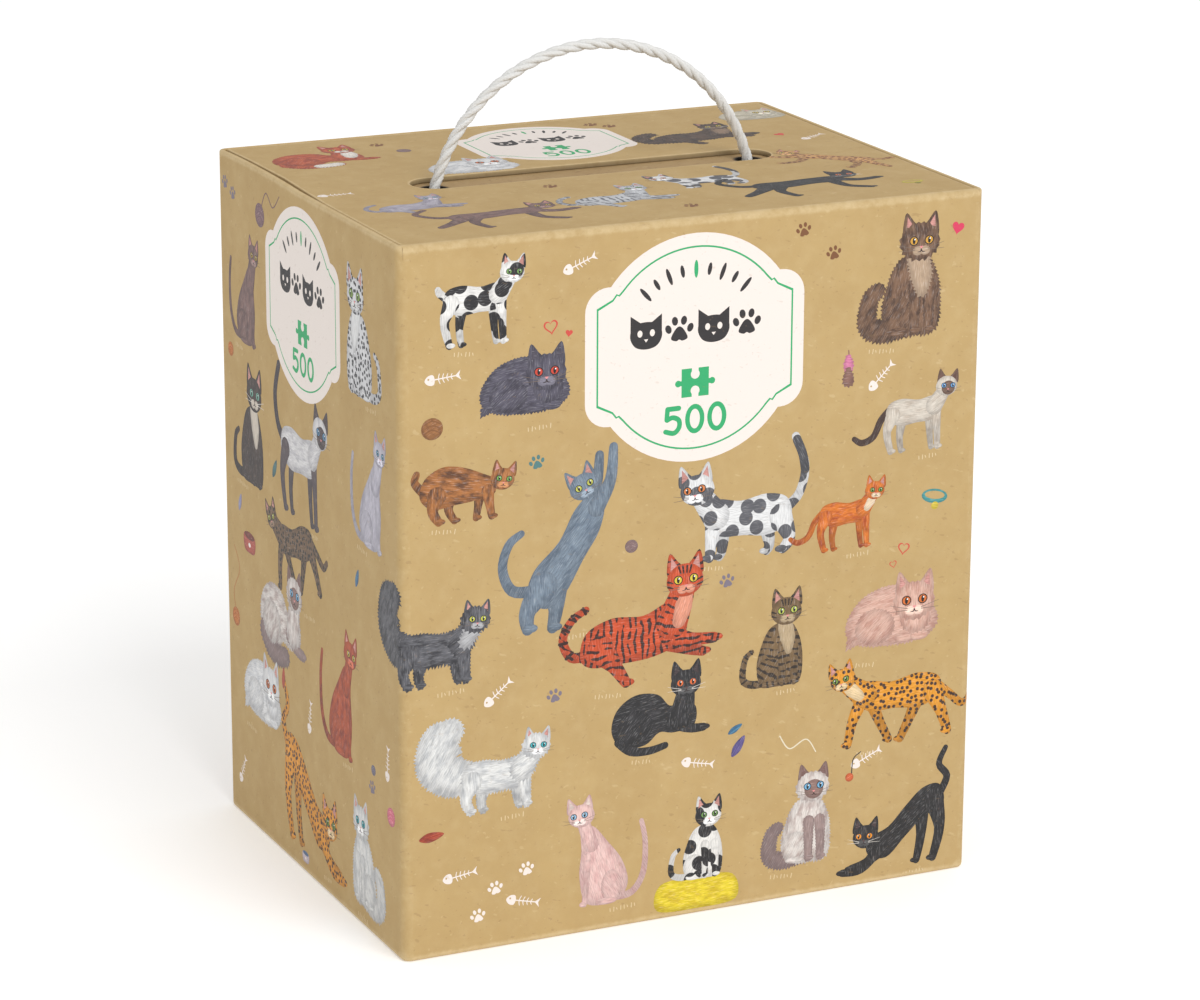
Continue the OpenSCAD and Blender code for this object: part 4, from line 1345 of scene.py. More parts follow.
POSES = {
    "sit": """
tail 0 30,8 10,5 -4,12 -2,34 6,42 | 4.6 4.4 4 3.4 2.6
body 80 24,2 12,20 16,44 28,66 50,70 62,52 66,26 62,3 44,0
haunch 60 27,17 15,16 | 0.07
leg 0.06 42,44 42,22 42,3 | 6 4.6 4
leg 0 55,44 56,22 56,3 | 6 4.6 4
bib 85 45,66 48,52 49,38 | 9 9 4
paw 0 26,3 11,3.6
head 18 46,82 | 0.35 0""",
    "side": """
tail 0 26,6 6,8 -6,26 -8,56 -4,78 | 3.8 3.6 3.2 2.8 2.4
body 75 22,2 10,18 16,42 32,64 46,80 58,76 58,56 60,30 52,3
haunch 60 27,17 15,17 | 0.08
leg 0 52,50 53,24 55,3 | 6 4.4 3.8
paw 0 32,3 11,3.4
neck 80 48,62 53,76 57,88 | 11 9.5 8.5
head 13.5 58,92 | 0.7 -4""",
    "lie": """
tail 0 14,12 2,12 -4,24 2,36 12,42 | 3.6 3.4 3 2.8 2.4
leg 0.2 66,14 80,8 94,4 | 6 4 3.4
body 0 8,10 12,26 30,34 52,33 70,40 82,34 80,14 60,5 34,3 16,3
leg 0 22,14 32,2 40,-10 | 10 5 3.4
leg 0 70,18 86,13 102,12 | 7 4.4 3.6
neck 70 72,26 76,36 80,47 | 11.5 10 8
head 13 81,53 | 0.2 2""",
    "loaf": """
body 10 4,8 2,24 16,42 38,50 60,48 80,34 88,12 66,0 24,0
tail 0 6,10 -5,4 6,-2 26,-1 | 4.6 4.4 4 3
haunch 40 28,16 18,15 | 0.07
paw 0 56,3 9,4.4
paw 0 72,3 9,4.4
breast 80 68,20 14,13
head 19 66,35 | 0.1 0""",
    "curl": """
body 10 3,20 8,40 26,52 48,50 60,38 72,40 86,34 84,16 64,12 50,14 36,4 14,4
tail 0 10,10 22,0 40,-2 56,1 | 4.4 4.2 3.8 3.2
leg 0.05 64,22 80,14 94,13 | 7 4.4 3.8
haunch 50 26,22 18,16 | 0.08
neck 80 72,26 74,36 76,48 | 12 11 9
head 15 76,57 | 0.2 0""",
    "walk": """
tail 0 12,44 0,34 -10,26 -18,30 | 4 3.6 3.2 2.6
leg 0.25 28,38 36,20 44,4 | 7 4.4 3.4
leg 0.25 70,38 62,20 54,5 | 6 4 3.2
body 0 8,40 12,52 30,56 52,52 72,55 84,52 84,38 70,30 50,30 30,28 14,32
leg 0 16,40 8,22 2,5 | 9 5 3.6
leg 0 77,42 86,24 90,5 | 7 4.4 3.4
neck 30 76,44 84,50 92,56 | 11 9 7.5
head 11 95,59 | 0.8 -8""",
    "crouch": """
tail 0 8,34 0,44 2,52 | 4.6 4 3.4
leg 0.22 36,28 34,14 40,3 | 7 4.4 3.6
leg 0.22 66,26 64,14 62,3 | 6 4 3.4
body -10 5,28 10,46 28,56 48,54 68,46 82,38 80,24 60,20 40,18 18,16
leg 0 22,28 18,14 24,3 | 10 5.4 4
leg 0 74,28 76,14 78,3 | 6.6 4.4 3.6
head 12.5 89,38 | 0.6 -10""",
    "reach": """
tail 0 12,26 -2,28 -8,42 -4,56 4,62 | 3.6 3.4 3 2.8 2.2
leg 0.2 26,26 26,12 24,2 | 8 4.6 3.6
arm 0.2 44,70 52,86 54,104 | 5.4 3.6 2.8
body 50 8,22 12,38 28,54 38,72 48,80 57,74 54,58 44,42 32,22 20,14
leg 0 18,28 8,14 8,3 | 9.5 5.4 3.8
arm 0 52,72 61,88 63,108 | 5.6 3.8 2.8
head 9.5 44,86 | 0.2 24""",
    "bow": """
tail 0 10,62 4,76 12,88 6,102 | 3.8 3.4 3 2.4
leg 0.25 28,52 28,26 32,3 | 8 4.6 3.4
leg 0.25 64,18 82,8 96,5 | 5.6 4 3.2
body -40 6,56 12,70 28,68 44,54 60,38 78,30 80,16 62,10 44,26 26,42 12,46
leg 0 16,56 10,30 16,3 | 10 5 3.8
leg 0 70,18 86,3 104,2 | 6 4.2 3.4
head 12.5 82,32 | 0.5 4""",
    "leap": """
tail 0 18,50 2,54 -8,70 4,82 | 3.6 3.2 2.8 2.4
leg 0.25 32,44 24,28 28,10 | 6.5 4 3.2
leg 0.25 76,44 80,26 94,16 | 5.6 3.8 3
body 0 10,48 18,58 40,58 62,60 84,60 90,50 82,42 60,42 38,38 18,38
leg 0 24,46 8,32 -6,22 | 8 4.6 3.4
leg 0 82,50 98,42 114,44 | 6 4 3.2
head 11 94,62 | 0.4 0""",
}


def cat(pose, colouring, x, y, span, turn=0.0):
    """A cat span mm wide about x and y. A negative span faces left."""
    look = COATS[colouring]
    if pose in STANDING:
        tail, drop = STANDING[pose]
        drawn = draw_cat(TAILS[tail] + STAND, look, drop)
    else:
        drawn = draw_cat(POSES[pose], look)
    low, high = drawn.box()
    return drawn.placed(x, y, abs(span) / (high[0] - low[0]), turn, mirror=span < 0)


# ---- small things between the cats

def fish_bone(ink=INK_CREAM):
    """A bare fish skeleton, 10 long."""
    s = Drawing().plain(smooth_line(at("-5,0 -4,1.2 -2.6,1.3 -2.2,0 -2.6,-1.3 -4,-1.2"), 4), ink)
    s.cut(oval(-3.9, 0.35, 0.28, 0.28, steps=8)).plain(limb(at("-2.4,0 3.6,0"), [0.16, 0.16], 2, 3), ink)
    for i, reach in enumerate((1.3, 1.15, 0.95, 0.75)):
        x = -1.2 + i * 1.15
        s.plain(limb([(x + 0.4, -reach), (x, 0), (x + 0.4, reach)], [0.1, 0.14, 0.1], 2, 3), ink)
    return s.plain(at("3.4,0 5,1.3 4.5,0 5,-1.3"), ink)


def paw_print(ink):
    """A paw print, 4 wide."""
    pad = at("-1.3,-0.9 -0.7,0.3 0,0.8 0.7,0.3 1.3,-0.9 0.5,-1.3 0,-1.1 -0.5,-1.3")
    s = Drawing().plain(smooth_line(pad, 4), ink)
    for x, y in at("-1.7,0.5 -0.7,1.6 0.7,1.6 1.7,0.5"):
        s.plain(oval(x, y, 0.48, 0.66, -x * 14, 12), ink)
    return s


def heart(ink, filled=False):
    """A heart, 4 wide, drawn as a line or filled."""
    angle = np.linspace(0, 2 * math.pi, 36, endpoint=False)
    outline = np.stack([2.0 * np.sin(angle) ** 3, 1.7 * np.cos(angle) - 0.66 * np.cos(2 * angle)
                        - 0.26 * np.cos(3 * angle) - 0.12 * np.cos(4 * angle)], 1)
    s = Drawing().plain(outline, ink)
    return s if filled else s.cut(outline * 0.78 + (0, 0.02))


def ball(ink, dark):
    """A ball of yarn, 6 wide, with winding lines."""
    s = Drawing().fill(oval(0, 0, 3, 2.9), ink, dark, (0.6, 0, 0, 0.4), 30)
    for lean in (-1.2, 0.0, 1.2):
        s.plain(limb([(-2.2, lean), (0, lean + 0.9), (2.2, lean)], [0.12, 0.16, 0.12], 4, 3), dark)
    return s


def thread(ink, points):
    """A loose thread."""
    return Drawing().plain(limb(points, [0.18, 0.18, 0.14], 8, 3), ink)


def leaf_shape(ink, dark):
    """A leaf, 8 long, with a dark rib."""
    leaf = smooth_line(at("-4,0 -1.5,1.4 1.5,1.2 4,0 1.5,-1.2 -1.5,-1.4"), 5)
    s = Drawing().fill(leaf, ink, dark, MARKINGS["soft"])
    return s.plain(limb(at("-3.6,0 3,0.1"), [0.16, 0.08], 2, 3), dark)


def feather_toy(ink, dark):
    """A feather toy on a short string, 10 tall."""
    s = Drawing().plain(limb(at("0,5 0.2,3"), [0.16, 0.2], 2, 3), dark)
    for places, seed, colour in (("0,3.6 -1,1.4 -0.7,-0.4 0.8,-0.4 1.1,1.4", 4, ink),
                                 ("0,0.2 -1.2,-2.6 -0.8,-4.4 1,-4.4 1.3,-2.6", 9, dark)):
        s.fill(ruffle(smooth_line(at(places), 5), 0.5, 0.9, seed), colour)
    return s


def collar_shape(ink, tag):
    """A collar with a round tag, 8 wide."""
    band = Drawing().fill(oval(0, 0, 4, 2), ink).cut(oval(0, 0.3, 3.1, 1.15))
    return band.fill(oval(0.6, -2.6, 1.1, 1.1), tag)


def bowl_shape(ink, dark):
    """A feeding bowl, 8 wide."""
    s = Drawing().fill(smooth_line(at("-4,1.4 -3.5,-2.4 0,-3 3.5,-2.4 4,1.4 0,2.2"), 5), ink)
    return s.fill(oval(0, 1.5, 3.6, 1.0), dark).plain(oval(0, -0.9, 0.8, 0.6), INK_CREAM)


def dash_row(count=6):
    """A row of short light strokes, the small ornament under each cat."""
    s = Drawing()
    for i in range(count):
        lean = 0.2 * math.sin(i * 2.3)
        stroke = [(i * 1.15, -0.5 - lean), (i * 1.15 + lean, 0.5 + lean)]
        s.plain(limb(stroke, [0.13, 0.13], 2, 2), rgb("e4cea4"))
    return s


def puzzle_icon(ink):
    """A single puzzle piece with two knobs and two sockets, 12 wide."""
    half_w, half_h = 4.1, 4.0
    outline = [(-half_w, -half_h), (-1.0, -half_h)] + arc((0, -2.3), 1.35, 222, -42, 10)
    outline += [(1.0, -half_h), (half_w, -half_h), (half_w, -0.7), (4.6, -0.7)]
    outline += arc((5.1, 0), 0.95, -130, 130, 8)
    outline += [(4.6, 0.7), (half_w, 0.7), (half_w, half_h), (1.0, half_h)]
    outline += arc((0, 2.3), 1.35, 42, -222, 10) + [(-1.0, half_h), (-half_w, half_h), (-half_w, 0.7)]
    outline += [(-4.6, 0.7)] + arc((-5.1, 0), 0.95, 50, 310, 8) + [(-4.6, -0.7), (-half_w, -0.7)]
    return Drawing().plain(outline, ink)


def numeral_five(ink):
    """The numeral 5, 8 tall, drawn with a round pen."""
    s = Drawing().plain(limb(at("2,3.4 -1.3,3.4"), [0.7, 0.7], 2, 5), ink)
    s.plain(limb(at("-1.3,3.4 -1.55,0.5"), [0.7, 0.66], 2, 5), ink)
    bowl = at("-1.4,0.4 0.2,1 2,0.1 2.1,-1.9 0.6,-3.3 -1.9,-2.7")
    return s.plain(limb(bowl, [0.64, 0.68, 0.7, 0.7, 0.7, 0.66], 6, 5), ink)


def numeral_nought(ink):
    """The numeral 0, 8 tall."""
    return Drawing().plain(oval(0, 0, 2.85, 4.05, steps=36), ink).cut(oval(0, 0, 1.5, 2.7, steps=30))


def cat_face_sign(ink):
    """A plain cat's face sign, 10 wide, with cut-out eyes."""
    face = at("-4.4,-0.6 -3.4,2.2 0,3 3.4,2.2 4.4,-0.6 3,-3.2 0,-4 -3,-3.2")
    s = Drawing().plain(smooth_line(face, 5), ink)
    for side in (-1, 1):
        s.plain([(side * 4.3, -0.4), (side * 4.3, 4.8), (side * 1.2, 2.6)], ink)
    for side in (-1, 1):
        s.cut(oval(side * 1.7, 0.1, 0.7, 0.9, steps=14))
    return s.cut(at("-0.6,-1.4 0.6,-1.4 0,-2.2"))


def plaque(scale=1.0):
    """The cream label: a disc over a shouldered plate, a thin stepped line, signs, and the piece count."""
    s = Drawing()
    radius, half_w, half_h = 30.5, 31.5, 18.5
    s.plain(np.array(round_outline(half_w, half_h, 6.5, 8)), INK_CREAM)
    s.plain(oval(0, 0, radius, radius, steps=72), INK_CREAM)
    for grow, ink in ((0.24, INK_GREEN), (-0.24, INK_CREAM)):
        ring = radius - 3.6 + grow
        edge, shoulder = half_w - 3.5 + grow, 14.0 + grow
        turn = math.degrees(math.asin((shoulder + 3.2) / ring))
        quarter = arc((0, 0), ring, 90, turn, 14)
        quarter += [(quarter[-1][0] + 1.2, shoulder + 2.0), (quarter[-1][0] + 1.9, shoulder + 2.3),
                    (quarter[-1][0] + 3.0, shoulder + 0.9), (edge, shoulder - 1.2)]
        right = quarter + [(x, -y) for x, y in quarter[::-1]]
        s.plain(right + [(-x, y) for x, y in right[::-1]], ink)
    for i in range(9):
        angle = math.radians(90 + (i - 4) * 10.5)
        x, y = 21.5 * math.cos(angle), 21.5 * math.sin(angle) - 0.5
        ink = INK_GREEN if i == 4 else INK_DARK
        s.plain(oval(x, y, 0.6, 1.7 if i % 2 else 2.4, math.degrees(angle) - 90, 16), ink)
    signs = [(cat_face_sign(INK_DARK), -14.2, 1.04), (paw_print(INK_DARK), -4.7, 1.85),
             (cat_face_sign(INK_DARK), 5.2, 1.04), (paw_print(INK_DARK), 14.8, 1.85)]
    for sign, x, size in signs:
        s.merge(sign_on(sign, x, 5.6, size))
    s.merge(sign_on(puzzle_icon(INK_GREEN), 0.0, -9.2, 0.96))
    for numeral, x in ((numeral_five(INK_GREEN), -6.4), (numeral_nought(INK_GREEN), 0.0),
                       (numeral_nought(INK_GREEN), 6.4)):
        s.merge(sign_on(numeral, x, -19.0, 0.98))
    return s if scale == 1.0 else s.placed(0, 0, scale, centred=False)


def sign_on(sign, x, y, size):
    """A sign for the plaque, its cut-outs filled with the plaque's own cream."""
    placed = sign.placed(x, y, size)
    for shape in placed.shapes:
        if shape["ink"] is None:
            shape.update(ink=INK_CREAM, second=INK_CREAM, marking=(0, 0, 0, 0), grain=0.0, painted=0.0)
    return placed


def cushion_kitten():
    """A kitten on a yellow cushion, about 24 wide."""
    cushion = smooth_line(at("-12,-4 -11,3.4 0,4.2 11,3.4 12,-4 0,-5"), 6)
    s = Drawing().fill(cushion, rgb("f6de28"), rgb("dcbe14"), (0, 0, 0, 1))
    return s.merge(cat("sit", "kitten", 0, 15.5, 17.5))


# ---- pictures onto surfaces

INK_RISE = 0.03
INK_DEPTH = 0.05
DOT_GRID = 2.2
WALL_LIMITS = ((-AROUND, AROUND), (1.2, NOTCH_TOP - 0.8))


def flatten(drawing, folds, limits):
    """Cuts a drawing's layers into one flat sheet: points, triangles and the shape on top of each.

    Folds are places across that need an edge. Limits are the least and greatest place across and up."""
    low, high = drawing.box()
    points, loops = [], []
    for shape in drawing.shapes:
        outline = shape["outline"]
        turns_left = twice_area(outline) > 0
        loops.append(list(range(len(points), len(points) + len(outline))))
        points += [Vector(point) for point in (outline if turns_left else outline[::-1])]
    chance = random.Random(len(points))
    y = low[1]
    while y < high[1]:
        x = low[0]
        while x < high[0]:
            points.append(Vector((x + chance.uniform(-0.4, 0.4), y + chance.uniform(-0.4, 0.4))))
            x += DOT_GRID
        y += DOT_GRID
    edges = []
    for axis, places in ((0, tuple(folds) + limits[0]), (1, limits[1])):
        for place in places:
            if low[axis] - 0.1 < place < high[axis] + 0.1:
                ends = [low - 0.5, high + 0.5]
                for end in ends:
                    end[axis] = place
                edges.append((len(points), len(points) + 1))
                points += [Vector(end) for end in ends]
    flat, _, faces, _, _, owners = delaunay_2d_cdt(points, edges, loops, 0, 1e-4)
    triangles, tops = [], []
    for face, owner in zip(faces, owners):
        middle = sum((flat[p] for p in face), Vector((0, 0))) / len(face)
        if owner and all(limits[k][0] < middle[k] < limits[k][1] for k in (0, 1)):
            top = max(owner)
            if drawing.shapes[top]["ink"] is None:
                continue
            for k in range(1, len(face) - 1):
                triangles.append((face[0], face[k], face[k + 1]))
                tops.append(top)
    return np.array([tuple(point) for point in flat]), triangles, tops


def joined(drawings, margin=0.3):
    """Drawings whose boxes meet become one, so that the later covers the earlier."""
    groups = []
    for drawing in drawings:
        low, high = drawing.box()
        meeting = [g for g in groups if (g[1] - margin < high).all() and (low - margin < g[2]).all()]
        merged = Drawing()
        for group in meeting:
            merged.merge(group[0])
        merged.merge(drawing)
        groups = [g for g in groups if g not in meeting]
        low = np.min([low] + [g[1] for g in meeting], 0)
        high = np.max([high] + [g[2] for g in meeting], 0)
        groups.append([merged, low, high])
    return [group[0] for group in groups]


def print_picture(name, drawings, onto, ink, body, folds=(), limits=WALL_LIMITS):
    """Prints drawings on a surface as one thin closed layer of ink. onto(x, y, lift) gives places in mm."""
    points, faces = [], []
    corners = []

    def corner(shape, x, y, tone):
        turn = math.radians(shape["grain"])
        brush = (x * math.cos(turn) + y * math.sin(turn), y * math.cos(turn) - x * math.sin(turn))
        corners.append((shape["ink"], shape["second"], shape["marking"], tone, shape["painted"], brush))

    for drawing in joined(drawings):
        flat, triangles, tops = flatten(drawing, folds, limits)
        tone_of = {}
        for index in set(tops):
            shape = drawing.shapes[index]
            used = sorted({p for triangle, top in zip(triangles, tops) if top == index for p in triangle})
            outline = shape["outline"]
            size = outline.max(0) - outline.min(0)
            reach = max(0.3, 0.26 * min(size))
            near = distance_to(outline, flat[used])
            climb = (flat[used][:, 1] - outline[:, 1].min()) / max(size[1], 1e-6)
            tone = np.clip(near / reach, 0, 1) * 0.7 + np.clip(climb, 0, 1) * 0.3
            tone_of[index] = dict(zip(used, tone))
        used = sorted({p for triangle in triangles for p in triangle})
        number = {p: len(points) + 2 * i for i, p in enumerate(used)}
        for p in used:
            x, y = flat[p]
            points += [onto(x, y, INK_RISE), onto(x, y, -INK_DEPTH)]
        sides = {}
        for triangle, top in zip(triangles, tops):
            shape = drawing.shapes[top]
            for order, below in ((triangle, 0), (triangle[::-1], 1)):
                faces.append([number[p] + below for p in order])
                for p in order:
                    corner(shape, *flat[p], tone_of[top][p])
            for k in range(3):
                a, b = triangle[k], triangle[(k + 1) % 3]
                if (b, a) in sides:
                    del sides[(b, a)]
                else:
                    sides[(a, b)] = top
        for (a, b), top in sides.items():
            faces.append([number[b], number[a], number[a] + 1, number[b] + 1])
            for p in (b, a, a, b):
                corner(drawing.shapes[top], *flat[p], tone_of[top][p])

    mesh = bpy.data.meshes.new(name)
    mesh.from_pydata([Vector(point) * MM for point in points], [], faces)
    mesh.materials.append(ink)
    *columns, brush = [np.array(values, np.float32).ravel() for values in zip(*corners)]
    for label, values in zip(("ink", "second_ink", "marking", "tone", "painted"), columns):
        kind, entry = ("FLOAT", "value") if label in ("tone", "painted") else ("FLOAT_COLOR", "color")
        mesh.attributes.new(label, kind, "CORNER").data.foreach_set(entry, values)
    mesh.uv_layers.new(name="brush_map").data.foreach_set("uv", brush)
    return finish(add_object(name, mesh), body, "ink")

# ---- where the pictures go

# Rows of cats: pose, colouring, place across and up, width (negative faces left), and a lean in degrees
FRONT_CATS = """
    bob cow -61,176 26; loaf smoke -51,153 29; sit brown_long 59,170 26; low pointed 62,133 33;
    crouch rust -66,126 30; reach slate -40,110 34; short grey_white 13,115 -40; low orange 42,107 30;
    lie tiger -16,85 48; sit tabby 23,75 20; loaf peach 57,77 33; plume storm -78.5,89 41;
    curl black -10,60 29; plume snow -61,52 40; walk gold_spot 62,53 -46; bow panther 61,20 -35;
    sit seal 31,23 22; side bare -26,23 -25"""
LEFT_CATS = """
    side mauve 20,157 25; sit speckle 107,164 -25; sit dark_point 21,119 25; stand ivory 62,122 42;
    side pale 110,124 26; walk marble 57,93 -46 12; curl seal 45,70 36; side red 87,62 29;
    loaf white 26,43 34; bow gold_spot 67,29 48; sit snow 107,20 -24"""
TOP_CATS = """
    curl fox -62,43 30; loaf white -31,16 30; lie lilac -62,-22 28; leap mauve -45,-42 44;
    lie silver -10,-34 34; lie choco 44,30 38; short grey_white 20,-22 -28; leap black 44,-40 46;
    loaf shell 70,48 24; leap clay_spot 64,-14 -38 -34"""
RIGHT_CATS = """
    curl tabby 46,178 34; side slate 108,168 -26; lie peach 34,146 -46; stand cow 86,136 34;
    sit rust 118,112 20; reach ivory 52,104 34; loaf storm 92,84 38; walk orange 70,60 -42;
    bow silver 110,42 31; curl snow 54,22 36; sit choco 84,17 18"""
BACK_CATS = """
    walk tabby -56,172 46; sit cow 58,168 22; lie snow -54,136 46; stand red 56,132 -36;
    side mauve -64,96 26; loaf brown_long -24,92 38; crouch gold_spot 20,96 40; curl pointed 62,92 34;
    stand slate -56,54 36; lie panther -6,58 46; bow orange 52,52 -38; sit seal -30,20 22;
    walk silver 20,20 42; loaf peach 62,16 30; curl smoke -66,16 30"""

# Rows of small things: kind, its paints, place, size and turn. Then a thread's own run
FRONT_THINGS = """
    bone f8ede5 -34,183 1 22; bone f8ede5 -72,157 1 5; bone f8ede5 54,144 1 45; bone f8ede5 -57,71 1 40;
    bone f8ede5 1,43 1 -12; bone f8ede5 52,37 1 24; bone f8ede5 -68,22 1 8; bone f8ede5 -50,12 1 -14;
    paw 805230 30,186 1 12; paw 805230 39,179 1 12; paw 548080 -46,132 1 12; paw 807684 9,93 1 12;
    paw 807684 -41,68 1 12; paw f8ede5 -63,10 1 12; paw f8ede5 -49,21 1 12; paw f8ede5 -58,17 1 12;
    heart d64e42 -42,167 1 8; full_heart d64e42 -37,165 0.5 -8; full_heart de3c60 76,182 0.9 -14;
    heart d64e42 62,95 0.9 -10; heart d64e42 59,91 0.55 12; ball a8703e/84542e -75,144 1 0;
    toy e282aa/966c60 44,147 1 0; collar 48a0a0/ecd23c 71,108 1 -10; leaf 4a8cb0/32648c 12,51 0.6 30;
    leaf 7062a0/504682 13,46 0.85 56; leaf c45234/963422 -76,34 0.9 8; ball 967a78/7e6462 -19,106 0.62 0;
    thread ece2c8 31,44 1 0 25,46 28,42 33,44 36,40; thread 3c3632 49,36 0.9 20 0,0 2,4 5,5;
    ball e26e3c/c45428 47,32 0.42 0"""
LEFT_THINGS = """
    bone f8ede5 65,47 1 80; bone f8ede5 121,52 1 85; bone f8ede5 11,14 1 60; paw 807684 6,184 1 12;
    paw 807684 12,182 1 12; paw 807684 110,42 1 12; ball 927074/785a60 33,180 1.15 0;
    thread 785a60 41,185 1 0 0,0 4,5 9,2 14,6; ball d8802e/b4641e 8,137 0.7 0;
    leaf 548080/3c6468 41,111 0.8 60; leaf a8a8c8/8c8cb4 13,94 0.7 70; bowl be5a4a/823c32 20,84 1.1 0;
    leaf 4a8cb0/3c5a82 101,97 0.7 70; ball d8802e/b4641e 8,59 0.95 0;
    thread be8246 9,69 1 0 0,0 -3,8 2,16 -2,22; leaf c45234/963422 45,52 0.8 84;
    ball e88296/d6647c 123,38 0.9 0; bowl d6c8d2/5a78a0 60,4.6 0.6 0; ball 827c8c/646070 111,47 0.5 0"""
TOP_THINGS = """
    bone f8ede5 -76,-3 1 0; bone f8ede5 74,14 1 30; paw 805230 -42,52 1 12; paw 805230 -20,-16 1 12;
    paw 805230 28,50 1 12; paw 805230 24,54 1 12; paw 805230 4,-52 1 12; full_heart d64e42 67,20 0.8 20;
    collar d6c83c/a09632 71,-50 0.8 0; ball 967a78/7e6462 -38,42 0.7 0"""
RIGHT_THINGS = """
    bone f8ede5 66,158 1 20; bone f8ede5 104,118 1 -30; bone f8ede5 40,50 1 60; bone f8ede5 122,12 1 85;
    paw 805230 66,186 1 12; paw 807684 118,148 1 12; paw 548080 62,118 1 12; paw 807684 36,42 1 12;
    heart d64e42 76,166 1 8; ball 548080/3c6468 118,138 1.1 0; bowl be5a4a/823c32 72,88 1 0;
    leaf 7062a0/504682 36,82 0.9 40; toy e282aa/966c60 116,74 1 0"""
BACK_THINGS = """
    bone f8ede5 -44,112 1 25; bone f8ede5 34,62 1 -20; bone f8ede5 -4,34 1 15; paw 805230 -20,186 1 12;
    paw 805230 -14,180 1 12; paw 548080 38,184 1 12; paw 807684 -40,74 1 12; heart d64e42 -30,180 1 8;
    heart d64e42 34,114 0.8 -8; ball d8802e/b4641e -26,118 1 0; leaf 4a8cb0/3c5a82 30,76 0.9 40;
    collar 48a0a0/ecd23c -24,70 1 10; bowl be5a4a/823c32 -45,35 1 0"""

THINGS = {"bone": fish_bone, "paw": paw_print, "heart": heart, "full_heart": lambda ink: heart(ink, True),
          "ball": ball, "leaf": leaf_shape, "bowl": bowl_shape, "toy": feather_toy, "collar": collar_shape,
          "thread": thread}


def read_cats(rows):
    """The cats that rows of text describe."""
    made = []
    for row in rows.split(";"):
        pose, colouring, place, *numbers = row.split()
        made.append(cat(pose, colouring, *at(place)[0], *(float(number) for number in numbers)))
    return made


def read_things(rows):
    """The small things that rows of text describe."""
    made = []
    for row in rows.split(";"):
        kind, paints, place, size, turn, *run = row.split()
        given = [rgb(paint) for paint in paints.split("/")] + ([at(" ".join(run))] if run else [])
        made.append(THINGS[kind](*given).placed(*at(place)[0], float(size), float(turn)))
    return made


def captions(cats):
    """A row of light strokes under each cat."""
    made = []
    for i, drawn in enumerate(cats):
        low, high = drawn.box()
        x = (low[0] + high[0]) / 2 + (0.2 if i % 2 else -0.2) * (high[0] - low[0])
        made.append(dash_row(6 + i % 3).placed(x, low[1] - 1.6, 0.9, 4 if i % 2 else -4))
    return made


def side_drawings(cats, things, label=()):
    """Everything printed on one side of the carton."""
    cats = read_cats(cats)
    return list(label) + captions(cats) + cats + read_things(things)


def front_drawings():
    """Everything printed on the front."""
    return side_drawings(FRONT_CATS, FRONT_THINGS, [plaque().placed(-1, 157.5)]) + [
        cushion_kitten().placed(1, 17.5, 0.98)]


def left_drawings():
    """Everything printed on the left side."""
    return side_drawings(LEFT_CATS, LEFT_THINGS, [plaque(0.86).placed(64, 162)])


def right_drawings():
    """Everything printed on the right side."""
    return side_drawings(RIGHT_CATS, RIGHT_THINGS)


def back_drawings():
    """Everything printed on the back."""
    return side_drawings(BACK_CATS, BACK_THINGS, [plaque().placed(3, 150)])


def top_drawings():
    """Everything printed on the lid, with the handle slot cut out."""
    drawings = [plaque(0.74).placed(2, 35.5)] + read_cats(TOP_CATS) + read_things(TOP_THINGS)
    return [drawing.cut(stadium(SLOT_LENGTH + 0.6, SLOT_WIDTH + 0.6)) for drawing in drawings]


def guide_drawings():
    """The picture on the guide: the finished puzzle in small, inside a thin border."""
    sheet = Drawing()
    low, high = cad_box("picture_guide")
    half_w, half_d = (high.x - low.x) / 2 - 8, (high.y - low.y) / 2 - 9
    sheet.fill(round_outline(half_w, half_d, 2.0, 4), rgb("ceb27c"), rgb("bea06c"), (0, 0, 0, 0.5), 0)
    drawings = [("walk", "tabby"), ("sit", "cow"), ("lie", "tiger"), ("loaf", "peach"), ("stand", "orange"),
                ("curl", "black"), ("reach", "slate"), ("sit", "seal"), ("bow", "panther"), ("stand", "cow"),
                ("lie", "silver"), ("loaf", "smoke"), ("walk", "gold_spot"), ("sit", "tabby"), ("curl", "snow")]
    for i, (pose, colouring) in enumerate(drawings):
        column, row = i % 5, i // 5
        x, y = (column - 2) * half_w * 0.39, (row - 1) * half_d * 0.62
        sheet.merge(cat(pose, colouring, x, y, 20 if pose not in ("sit", "reach") else 13))
    return [sheet]


